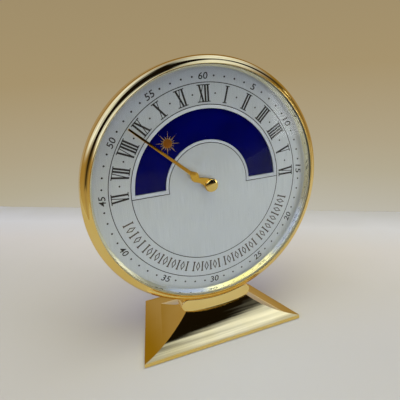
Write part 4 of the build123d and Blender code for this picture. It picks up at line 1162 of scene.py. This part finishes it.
@dataclass
class Dial:
    """The silvered plate with its window, and all that is printed on it."""

    edge: float = 61.4
    bore: float = 2.0
    thickness: float = 0.8
    ease: float = 0.08
    window_inner: float = 23.2
    window_outer: float = 39.05
    punch: Point = (-2, 4)
    dot_ring: float = 55.0
    dot: float = 0.5
    hour_dot: float = 0.45
    outer_line: float = 51.85
    inner_line: float = 41.0
    border_line: float = 21.75
    border_drop: float = 1.95
    line_width: float = 0.4
    margin_gap: float = 0.12
    margin_inset: float = 0.3
    margin_short: float = 0.05
    ink: float = 0.03
    hour_ring: float = 46.5
    hour_height: float = 8.7
    hour_step: float = 15.0
    minute_step: float = 6.0
    thick_stroke: float = 0.98
    thin_stroke: float = 0.4
    serif: float = 0.48
    serif_width: float = 2.3
    thin_serif: float = 0.8
    figure_height: float = 3.35
    figure_width: float = 2.5
    figure_lean: float = 0.12
    figure_weight: float = 0.01
    band: Point = (43.5, 49.0)
    post: float = 0.72
    post_serif: float = 1.3
    lozenge: float = 1.25
    lozenge_core: Point = (0.55, 0.66)
    frieze_step: float = 3.1
    frieze_groups: tuple[Point, ...] = (
        (236.5, 252.5), (199.5, 232.0), (176.0, 194.5), (146.5, 171.5), (108.5, 141.5)
    )

    def half_ring(self, inner: float, outer: float, below: float = 0.0, count: int = 121) -> list[Point]:
        """Lists the points of a half ring over the dial's top, its ends `below` degrees under the centre."""
        return [*arc(outer, -below, 180 + below, count), *arc(inner, 180 + below, -below, 91)]

    def plate(self) -> Piece:
        """Turns the plate and cuts its window.

        Returns:
            The piece, in place.
        """
        plate = turned("dial_plate_cut", rectangle((self.bore, -self.thickness), (self.edge, 0)))
        cut(plate, blanked("window", self.half_ring(self.window_inner, self.window_outer), *self.punch))
        merge(plate)
        return smooth(eased(stand(plate), self.ease, angle=50), angle=30)

    def printed(self, points: Sequence[Point], height: float = 1.0) -> Piece:
        """Prints a flat shape, `height` times the ink's thickness high."""
        return blanked("print", points, 0, self.ink * height)

    def circle(self, name: str, radius: float) -> Piece:
        """Prints a full circle line."""
        half = self.line_width / 2
        return turned(name, rectangle((radius - half, 0), (radius + half, self.ink)), steps=180)

    def border(self) -> Piece:
        """Prints the line inside the window's margin, and its two feet out to the inner circle.

        Returns:
            The line, on the bench.
        """
        half, line, low = self.line_width / 2, self.border_line, self.border_drop
        parts = [self.printed(self.half_ring(line - half, line + half, degrees(asin(low / line)), 91))]
        near, far = (sqrt(radius**2 - low**2) for radius in (line, self.inner_line))
        for side in (1, -1):
            foot = rectangle((side * (near - half), -low - half), (side * far, -low + half))
            parts.append(self.printed(foot))
        return joined("window_border", parts)

    def margin(self) -> Piece:
        """Prints the pale margin between the window and its border.

        Returns:
            The margin, on the bench.
        """
        near, far = self.border_line + self.margin_inset, self.inner_line - self.margin_inset
        shapes = [
            self.half_ring(self.window_outer + self.margin_gap, far),
            self.half_ring(near, self.window_inner - self.margin_gap),
        ]
        for side in (1, -1):
            low = (side * near, self.margin_inset - self.border_drop)
            shapes.append(rectangle(low, (side * (far - self.margin_short), -self.margin_gap)))
        return joined("window_margin", [self.printed(shape, 0.5) for shape in shapes])

    def stroke(self, foot: Point, head: Point, width: float) -> Piece:
        """Prints one straight stroke of a numeral, level at both ends.

        Args:
            foot: The middle of its lower end.
            head: The middle of its upper end.
            width: Its width, square to its length.

        Returns:
            The stroke, on the bench.
        """
        half = width / 2 * hypot(head[0] - foot[0], head[1] - foot[1]) / abs(head[1] - foot[1])
        ends = ((foot, -half), (foot, half), (head, half), (head, -half))
        return self.printed([(x + shift, y) for (x, y), shift in ends])

    def bar(self, middle: Point, width: float) -> Piece:
        """Prints one serif, a little prouder than the strokes."""
        (x, y), half = middle, self.serif / 2
        return self.printed(rectangle((x - width / 2, y - half), (x + width / 2, y + half)), 1.3)

    def letter(self, shape: Letter) -> Piece:
        """Prints one Roman letter.

        Args:
            shape: The letter.

        Returns:
            The letter, on the bench.
        """
        top = self.hour_height / 2
        level = top - self.serif / 2
        parts = [
            self.stroke((foot, -top), (head, top), self.thick_stroke if thick else self.thin_stroke)
            for foot, head, thick in shape.strokes
        ]
        ends = [((head, level), thick) for _, head, thick in shape.strokes]
        if shape.footed:
            ends += [((foot, -level), thick) for foot, _, thick in shape.strokes]
        for end, thick in ends:
            parts.append(self.bar(end, self.serif_width * (1 if thick else self.thin_serif)))
        return joined("letter", parts)

    def hours(self) -> Piece:
        """Prints the Roman hours from VI over XII to VI, feet to the centre.

        Returns:
            The hours, on the bench.
        """
        letters = {name: self.letter(shape) for name, shape in ROMAN.items()}
        placed = []
        for index, word in enumerate(HOURS):
            pen = -sum(ROMAN[name].advance for name in word) / 2
            for name in word:
                middle = pen + ROMAN[name].advance / 2
                placed.append(set_round(letters[name], self.hour_ring, self.hour_step * index - 90, middle))
                pen += ROMAN[name].advance
        return joined("roman_hours", placed, *letters.values())

    def dots(self, name: str, radius: float, ring: float, angles: Sequence[float]) -> Piece:
        """Prints round dots.

        Args:
            name: The piece's name.
            radius: Each dot's radius.
            ring: How far out they stand.
            angles: Their places in degrees clockwise from 12.

        Returns:
            The dots, on the bench.
        """
        dot = self.printed(arc(radius, 0, 330, 12))
        return joined(name, [set_round(dot, ring, angle) for angle in angles], dot)

    def figure(self, minute: int) -> Piece:
        """Prints a minute's figures, slightly italic, which read upright in the lower half.

        Args:
            minute: The minute.

        Returns:
            The figures, at their place on the dial.
        """
        deselect()
        bpy.ops.object.text_add()
        text = bpy.context.object.data
        text.body = str(minute)
        text.align_x = text.align_y = "CENTER"
        text.shear = self.figure_lean
        text.offset = self.figure_weight
        text.resolution_u = 4
        text.extrude = 0.01
        bpy.ops.object.convert(target="MESH")
        figure = bpy.context.object
        low, high = Vector(figure.bound_box[0]), Vector(figure.bound_box[6])
        size = high - low
        wide = self.figure_width * len(str(minute))
        scales = (wide * MM / size.x, self.figure_height * MM / size.y, self.ink * MM / size.z, 1)
        figure.data.transform(
            Matrix.Rotation(radians(-self.minute_step * minute), 4, "Z")
            @ Matrix.Translation((0, self.dot_ring * MM, self.ink / 2 * MM))
            @ Matrix.Rotation(pi if 15 < minute < 45 else 0, 4, "Z")
            @ Matrix.Diagonal(scales)
            @ Matrix.Translation(-(low + high) / 2)
        )
        return figure

    def frieze(self) -> Piece:
        """Prints a plain frieze of posts and lozenges in the lower half, in five groups.

        Returns:
            The frieze, on the bench.
        """
        inner, outer = self.band
        half = (outer - inner) / 2
        level = half - self.serif / 2
        serifs = [self.bar((0, side * level), self.post_serif) for side in (1, -1)]
        post = joined("post", [self.stroke((0, -half), (0, half), self.post), *serifs])
        corners = [(0, -half), (self.lozenge, 0), (0, half), (-self.lozenge, 0)]
        wide, tall = self.lozenge_core
        core = blanked("core", [(x * wide, y * tall) for x, y in corners], -2 * half, 4 * half)
        lozenge = cut(self.printed(corners), core)
        placed = []
        for start, stop in self.frieze_groups:
            count = max(3, round((stop - start) / self.frieze_step))
            count += 1 - count % 2
            for index in range(count):
                angle = start + (stop - start) * index / (count - 1)
                placed.append(set_round(lozenge if index % 2 else post, (inner + outer) / 2, angle))
        return joined("dial_frieze", placed, post, lozenge)

    def dress(self) -> None:
        """Builds and settles the dial and its print."""
        settle(self.plate(), Body.CLOCK, Slot.DIAL, SILVERED, "dial_plate")
        minutes = [self.minute_step * minute for minute in range(60) if minute % 5]
        halves = [self.hour_step * (place + 0.5) - 90 for place in range(12)]
        for piece, ink in (
            (self.circle("outer_circle_line", self.outer_line), PRINT_INK),
            (self.circle("inner_circle_line", self.inner_line), PRINT_INK),
            (self.border(), PRINT_INK),
            (self.margin(), WHITE_MARGIN),
            (self.hours(), PRINT_INK),
            (self.dots("minute_dots", self.dot, self.dot_ring, minutes), PRINT_INK),
            (self.dots("hour_dots", self.hour_dot, self.hour_ring, halves), PRINT_INK),
            (joined("minute_figures", [self.figure(minute) for minute in range(5, 61, 5)]), PRINT_INK),
            (self.frieze(), LIGHT_INK),
        ):
            with editing(piece):
                face_outward()
            settle(stand(piece), Body.CLOCK, Slot.DIAL, ink)


@dataclass
class SunDisc:
    """The 24-hour disc behind the window, with its sun and moon."""

    bore: float = 2.2
    radius: float = 40.5
    back: float = -1.8
    front: float = -1.2
    ease: float = 0.06
    emblem_ring: float = 31.125
    emblem_height: float = 0.12
    sun_angle: float = 130.7
    core: float = 2.35
    core_ease: Point = (0.3, 0.06)
    valley: float = 1.95
    long_ray: float = 6.5
    short_ray: float = 4.1
    rays: int = 16
    ray_height: float = 0.096
    moon: float = 4.2
    bite: float = 3.6
    bite_shift: float = 1.9

    def disc(self) -> Piece:
        """Turns the lacquered disc, and returns it in place."""
        profile = rectangle((self.bore, self.back), (self.radius, self.front))
        return smooth(eased(stand(turned("sun_disc_lacquered", profile, steps=180)), self.ease), angle=30)

    def placed(self, emblem: Piece, angle: float) -> Piece:
        """Puts an emblem on the disc.

        Args:
            emblem: The emblem, centred on the bench.
            angle: Its place in degrees anticlockwise from the right.

        Returns:
            The emblem, in place.
        """
        x, y = polar(self.emblem_ring, angle)
        turn = Matrix.Rotation(radians(angle - 90), 4, "Z")
        emblem.data.transform(Matrix.Translation((x * MM, y * MM, 0)) @ turn)
        return stand(emblem)

    def sun_rays(self) -> Piece:
        """Cuts the ring of long and short rays.

        Returns:
            The piece, in place.
        """
        points = []
        for ray in range(self.rays):
            middle = 90 + ray * 360 / self.rays
            points.append(polar(self.valley, middle - 180 / self.rays))
            points.append(polar(self.short_ray if ray % 2 else self.long_ray, middle))
        return self.placed(blanked("sun_rays", points, self.front, self.ray_height), self.sun_angle)

    def sun_body(self) -> Piece:
        """Presses the sun's low round body.

        Returns:
            The piece, in place.
        """
        top = self.front + self.emblem_height
        inward, down = self.core_ease
        rim = [(self.core, self.front), (self.core, top - down), (self.core - inward, top)]
        body = turned("sun_body", [(0, self.front), *rim, (0, top)], steps=48)
        return smooth(self.placed(body, self.sun_angle), angle=60)

    def moon_crescent(self) -> Piece:
        """Cuts the crescent that stands opposite the sun.

        Returns:
            The piece, in place.
        """
        along = (self.moon**2 - self.bite**2 + self.bite_shift**2) / (2 * self.bite_shift)
        across = sqrt(self.moon**2 - along**2)
        outer = degrees(atan2(across, along))
        inner = degrees(atan2(across, along - self.bite_shift))
        hollow = arc(self.bite, 360 - inner, inner, 32, (self.bite_shift, 0))[1:-1]
        points = [*arc(self.moon, outer, 360 - outer, 40), *hollow]
        crescent = blanked("moon_crescent", points, self.front, self.emblem_height)
        return self.placed(crescent, self.sun_angle + 180)

    def dress(self) -> None:
        """Builds and settles the disc's pieces."""
        settle(self.disc(), Body.DISC, Slot.NAVY, NAVY, "sun_disc")
        settle(self.sun_rays(), Body.DISC, Slot.GOLD_HAND, GILT_PALE, "sun_emblem")
        settle(self.sun_body(), Body.DISC, Slot.GOLD_HAND, GILT_RED, "sun_emblem")
        settle(self.moon_crescent(), Body.DISC, Slot.GOLD_HAND, GILT_PALE, "moon_emblem")


@dataclass
class Hand:
    """The minute hand with its stepped root, and the nut that holds it."""

    turn: float = 49.9
    back: float = 3.0
    thickness: float = 0.5
    boss: float = 3.6
    boss_arc: Point = (137.3, 402.7)
    seat: float = 1.1
    length: float = 51.8
    tip: float = 1.05
    ease: float = 0.24
    step_right: tuple[Point, ...] = ((2.6, 2.4), (1.9, 4.3), (0.7, 6.6), (-0.3, 8.2))
    shoulder: tuple[Point, ...] = ((-0.3, 8.2), (0.5, 9.1), (1.2, 10.5), (0.8, 12.2), (0.1, 14.0))
    step_left: tuple[Point, ...] = (
        (-1.75, 14.0), (-2.1, 12.9), (-3.3, 11.3), (-3.6, 9.3), (-2.7, 6.7), (-2.3, 4.4), (-2.6, 2.4)
    )
    nut: float = 3.3
    nut_height: float = 1.1
    nut_rim: float = 0.6
    nut_crown: float = 0.28

    def blade(self) -> Piece:
        """Cuts the hand: boss, arm that steps aside to a shoulder, and needle.

        Returns:
            The hand, in place.
        """
        right, shoulder, left = (flowing(knots) for knots in (self.step_right, self.shoulder, self.step_left))
        needle = [(self.tip / 2, self.length), (-self.tip / 2, self.length)]
        points = [*right[1:], *shoulder[1:], *needle, *left[:-1], *arc(self.boss, *self.boss_arc, 50)]
        piece = blanked("minute_hand_cut", points, self.back, self.thickness)
        cut(piece, blanked("seat", arc(self.seat, 0, 350, 36), 0, 10))
        merge(piece)
        eased(piece, self.ease, angle=50)
        piece.data.transform(Matrix.Rotation(radians(self.turn), 4, "Z"))
        return smooth(stand(piece), angle=35)

    def cap(self) -> Piece:
        """Turns the rounded nut over the boss.

        Returns:
            The piece, in place.
        """
        foot = self.back + self.thickness
        top, rim = foot + self.nut_height, foot + self.nut_rim
        crown = [(self.nut * cos(radians(a)), rim + (top - rim) * sin(radians(a))) for a in range(0, 86, 5)]
        pocket = top - self.nut_crown
        profile = [(self.seat, foot), (self.nut, foot), *crown, (0, top), (0, pocket), (self.seat, pocket)]
        return smooth(stand(turned("hand_nut_turned", profile, steps=96)))

    def dress(self) -> None:
        """Builds and settles the hand's pieces."""
        settle(self.blade(), Body.HAND, Slot.GOLD_HAND, GILT_HAND, "minute_hand")
        settle(self.cap(), Body.HAND, Slot.GOLD_HAND, GILT, "hand_nut")


@dataclass
class Back:
    """What shows behind and below: can, cover, key, knob, screws, plate and felt."""

    nodes: tuple[str, ...] = (
        "movement_can", "back_cover", "winding_key", "setting_knob", "pan_screws", "cover_screws",
        "regulator_lever", "base_plate", "base_screws", "felt_pad",
    )

    def dress(self) -> None:
        """Replaces each node by a merged and smoothly shaded copy in its slot's finish."""
        record = frame["record"]
        slots = {part["node"]: Slot(part["material_slot"]) for part in record["subparts"]}
        bodies = {node: name for name, nodes in record["behaviour"]["bodies"].items() for node in nodes}
        for node in self.nodes:
            settle(refined(node), Body(bodies[node]), slots[node], SLOT_FINISHES[slots[node]], node)


@dataclass
class Movement:
    """The clockwork and the other CAD nodes, which keep their shapes."""

    def dress(self) -> None:
        """Gives every CAD node the finish of its slot."""
        for part in frame["record"]["subparts"]:
            finish = SLOT_FINISHES[Slot(part["material_slot"])]
            dress_in(frame["nodes"][part["node"]], finish)
            log.info("%s is dressed in %s", part["node"], finish.name)


# Stage, light and camera


@dataclass
class Studio:
    """A pale table, a quiet brown room, and soft light from above and from the front."""

    table_turn: float = -32.7
    table_rear: float = 0.1834
    table_front: float = -0.24
    table_half: float = 1.1
    table_thickness: float = 0.02
    table_ease: float = 6.0
    # Painted light on the table: paler towards the rear, brightest in a band near the rear edge, darker again
    # at the edge.
    table_tones: Stops = (
        (0.0, "#C6C5C0"), (0.524, "#C6C5C0"), (0.662, "#CDCBC4"), (0.786, "#D9D6D0"), (0.887, "#DCDDDC"),
        (0.926, "#D3D4D2"), (1.0, "#C4C4BC"),
    )
    wall_tones: Stops = (
        (0.0, "#BDB9AC"), (0.1, "#B3AA92"), (0.17, "#AFA286"), (0.34, "#A6936E"), (0.566, "#9F8D6A"),
        (0.764, "#8F7828"), (1.0, "#8C7012"),
    )
    front_tones: Stops = ((0.0, "#A39682"), (0.327, "#A39682"), (0.352, "#1A140E"), (1.0, "#14110C"))
    ceiling: tuple[float, ...] = (1.08, 1.4, 2.95, 1.0)
    streak: Point3 = (1.5, 6.0, 2.6)
    window: float = 5.0
    window_way: Point = (0.7486, -0.6631)
    eye: Point3 = (-0.070671, -0.188842, 0.142332)
    right: Point3 = (0.93255, -0.35540, -0.06351)
    up: Point3 = (0.14212, 0.19967, 0.96950)
    ahead: Point3 = (0.33188, 0.91314, -0.23671)
    lens: float = 34.0
    shift: Point = (0.0108, -0.0863)
    aim: Point3 = (0.0, 0.0, 0.08)

    def table(self) -> None:
        """Lays the table, with eased edges and a faint mottle."""
        deselect()
        deep = self.table_rear - self.table_front
        middle = (self.table_rear + self.table_front) / 2
        bpy.ops.mesh.primitive_cube_add(size=1, location=(0, middle, -self.table_thickness / 2))
        piece = bpy.context.object
        piece.name = "table"
        piece.scale = (2 * self.table_half, deep, self.table_thickness)
        set_place(piece)
        piece.rotation_euler = (0, 0, radians(self.table_turn))
        set_place(piece)
        smooth(eased(piece, self.table_ease, segments=4))
        edges = {"turn": self.table_turn, "front": self.table_front, "rear": self.table_rear}
        dress_in(piece, TablePaint("table_matt_paint_painted_light", "#C6C5C0", 0.6, stops=self.table_tones, **edges))

    def room(self) -> None:
        """Paints the room: walls, ceiling and window.

        The wall behind is brown and the side in front dark, over a pale floor. The ceiling is a bluish
        pale area with a ragged front edge, and the window small and bright at the right.
        """
        world = bpy.context.scene.world or bpy.data.worlds.new("room")
        bpy.context.scene.world = world
        world.use_nodes = True
        tree = world.node_tree
        tree.nodes.clear()
        way = add_node(tree, "TexCoord").outputs["Generated"]
        x, y, z = add_node(tree, "SeparateXYZ", {0: way}).outputs

        left = add_node(tree, "Math", {0: x, 1: 0.0}, operation="MINIMUM")
        behind = limited(tree, 1.0, (weighted(tree, y, (z, -0.4), (left, -0.35)), -0.85, -0.05))
        front = ramped(tree, z, -0.6, 0.6, self.front_tones)
        wall = ramped(tree, z, -0.36, 0.7, self.wall_tones)
        walls = add_node(tree, "Mix", {"Factor": behind, "A": front, "B": wall}, data_type="RGBA")

        streaked = add_node(tree, "Mapping", {"Vector": way, "Scale": self.streak})
        streaks = add_node(tree, "TexNoise", {"Vector": streaked, "Scale": 1.0, "Detail": 3.0})
        span = {"From Min": 0.36, "From Max": 0.6, "To Min": 0.38}
        cloud = add_node(tree, "MapRange", {"Value": streaks} | span)
        sideways = add_node(tree, "Math", {0: x}, operation="ABSOLUTE")
        ceiling = limited(
            tree,
            cloud,
            (weighted(tree, y, (sideways, 0.77), (x, 0.175), (streaks, 0.6)), -0.16, 0.06),
            (y, 0.35, 0.0),
            (z, 1.15, 0.86),
            (z, 0.1, 0.4),
            (weighted(tree, x, (y, -1.0)), 1.28, 1.12),
            (x, 0.9, 0.7),
        )
        sky = add_node(tree, "Mix", {"Factor": ceiling, "A": walls, "B": self.ceiling}, data_type="RGBA")

        out, side = self.window_way
        toward = add_node(tree, "VectorMath", {0: way, 1: (out, side, 0)}, operation="DOT_PRODUCT")
        beside = add_node(tree, "VectorMath", {0: way, 1: (-side, out, 0)}, operation="DOT_PRODUCT")
        offset = add_node(tree, "Math", {0: beside}, operation="ABSOLUTE")
        limits = ((toward, 0.85, 0.95), (offset, 0.13, 0.1), (z, -0.11, -0.08), (z, 0.2, 0.17))
        pane = limited(tree, self.window, *limits)
        lit = add_node(tree, "VectorMath", {0: (1, 1, 1), 1: pane, 2: sky}, operation="MULTIPLY_ADD")
        light = add_node(tree, "Background", {"Color": lit, "Strength": 1.0})
        add_node(tree, "OutputWorld", {"Surface": light})

    def lamp(self, name: str, place: Point3, size: Point, watts: float, colour: str) -> None:
        """Hangs a soft lamp that shines at the clock. Mirrors don't show it, only what it lights.

        Args:
            name: The lamp's name.
            place: Where it hangs.
            size: Its width and height.
            watts: Its power.
            colour: Its hex colour.
        """
        data = bpy.data.lights.new(name, "AREA")
        data.shape = "RECTANGLE"
        data.size, data.size_y = size
        data.energy = watts
        data.color = linear(colour)[:3]
        lamp = bpy.data.objects.new(name, data)
        bpy.context.scene.collection.objects.link(lamp)
        lamp.location = place
        lamp.visible_glossy = False
        lamp.rotation_euler = (Vector(self.aim) - Vector(place)).to_track_quat("-Z", "Y").to_euler()

    def camera(self) -> None:
        """Sets the camera to the photograph's place, direction and framing."""
        data = bpy.data.cameras.new("camera")
        data.lens = self.lens
        data.sensor_width = 36
        data.shift_x, data.shift_y = self.shift
        data.clip_start = 0.01
        camera = bpy.data.objects.new("camera", data)
        bpy.context.scene.collection.objects.link(camera)
        axes = Matrix((self.right, self.up, tuple(-part for part in self.ahead))).transposed().to_4x4()
        camera.matrix_world = Matrix.Translation(self.eye) @ axes
        bpy.context.scene.camera = camera

    def dress(self) -> None:
        """Sets the camera, the stage, the lights and the view's plain transform."""
        self.camera()
        self.table()
        self.room()
        self.lamp("above", (-0.05, -0.45, 1.3), (1.3, 1.0), 12.5, "#FFF384")
        self.lamp("front", (-0.3, -1.2, 0.5), (0.8, 0.6), 3.3, "#DFEAFF")
        bpy.context.scene.view_settings.view_transform = "Standard"


def main() -> None:
    logging.basicConfig(level=logging.INFO, format="%(message)s")
    for assembly in (Studio(), Movement(), Case(), Foot(), Dial(), SunDisc(), Hand(), Back()):
        log.info("building %s", type(assembly).__name__)
        assembly.dress()
    deselect()


if __name__ == "__main__":
    main()
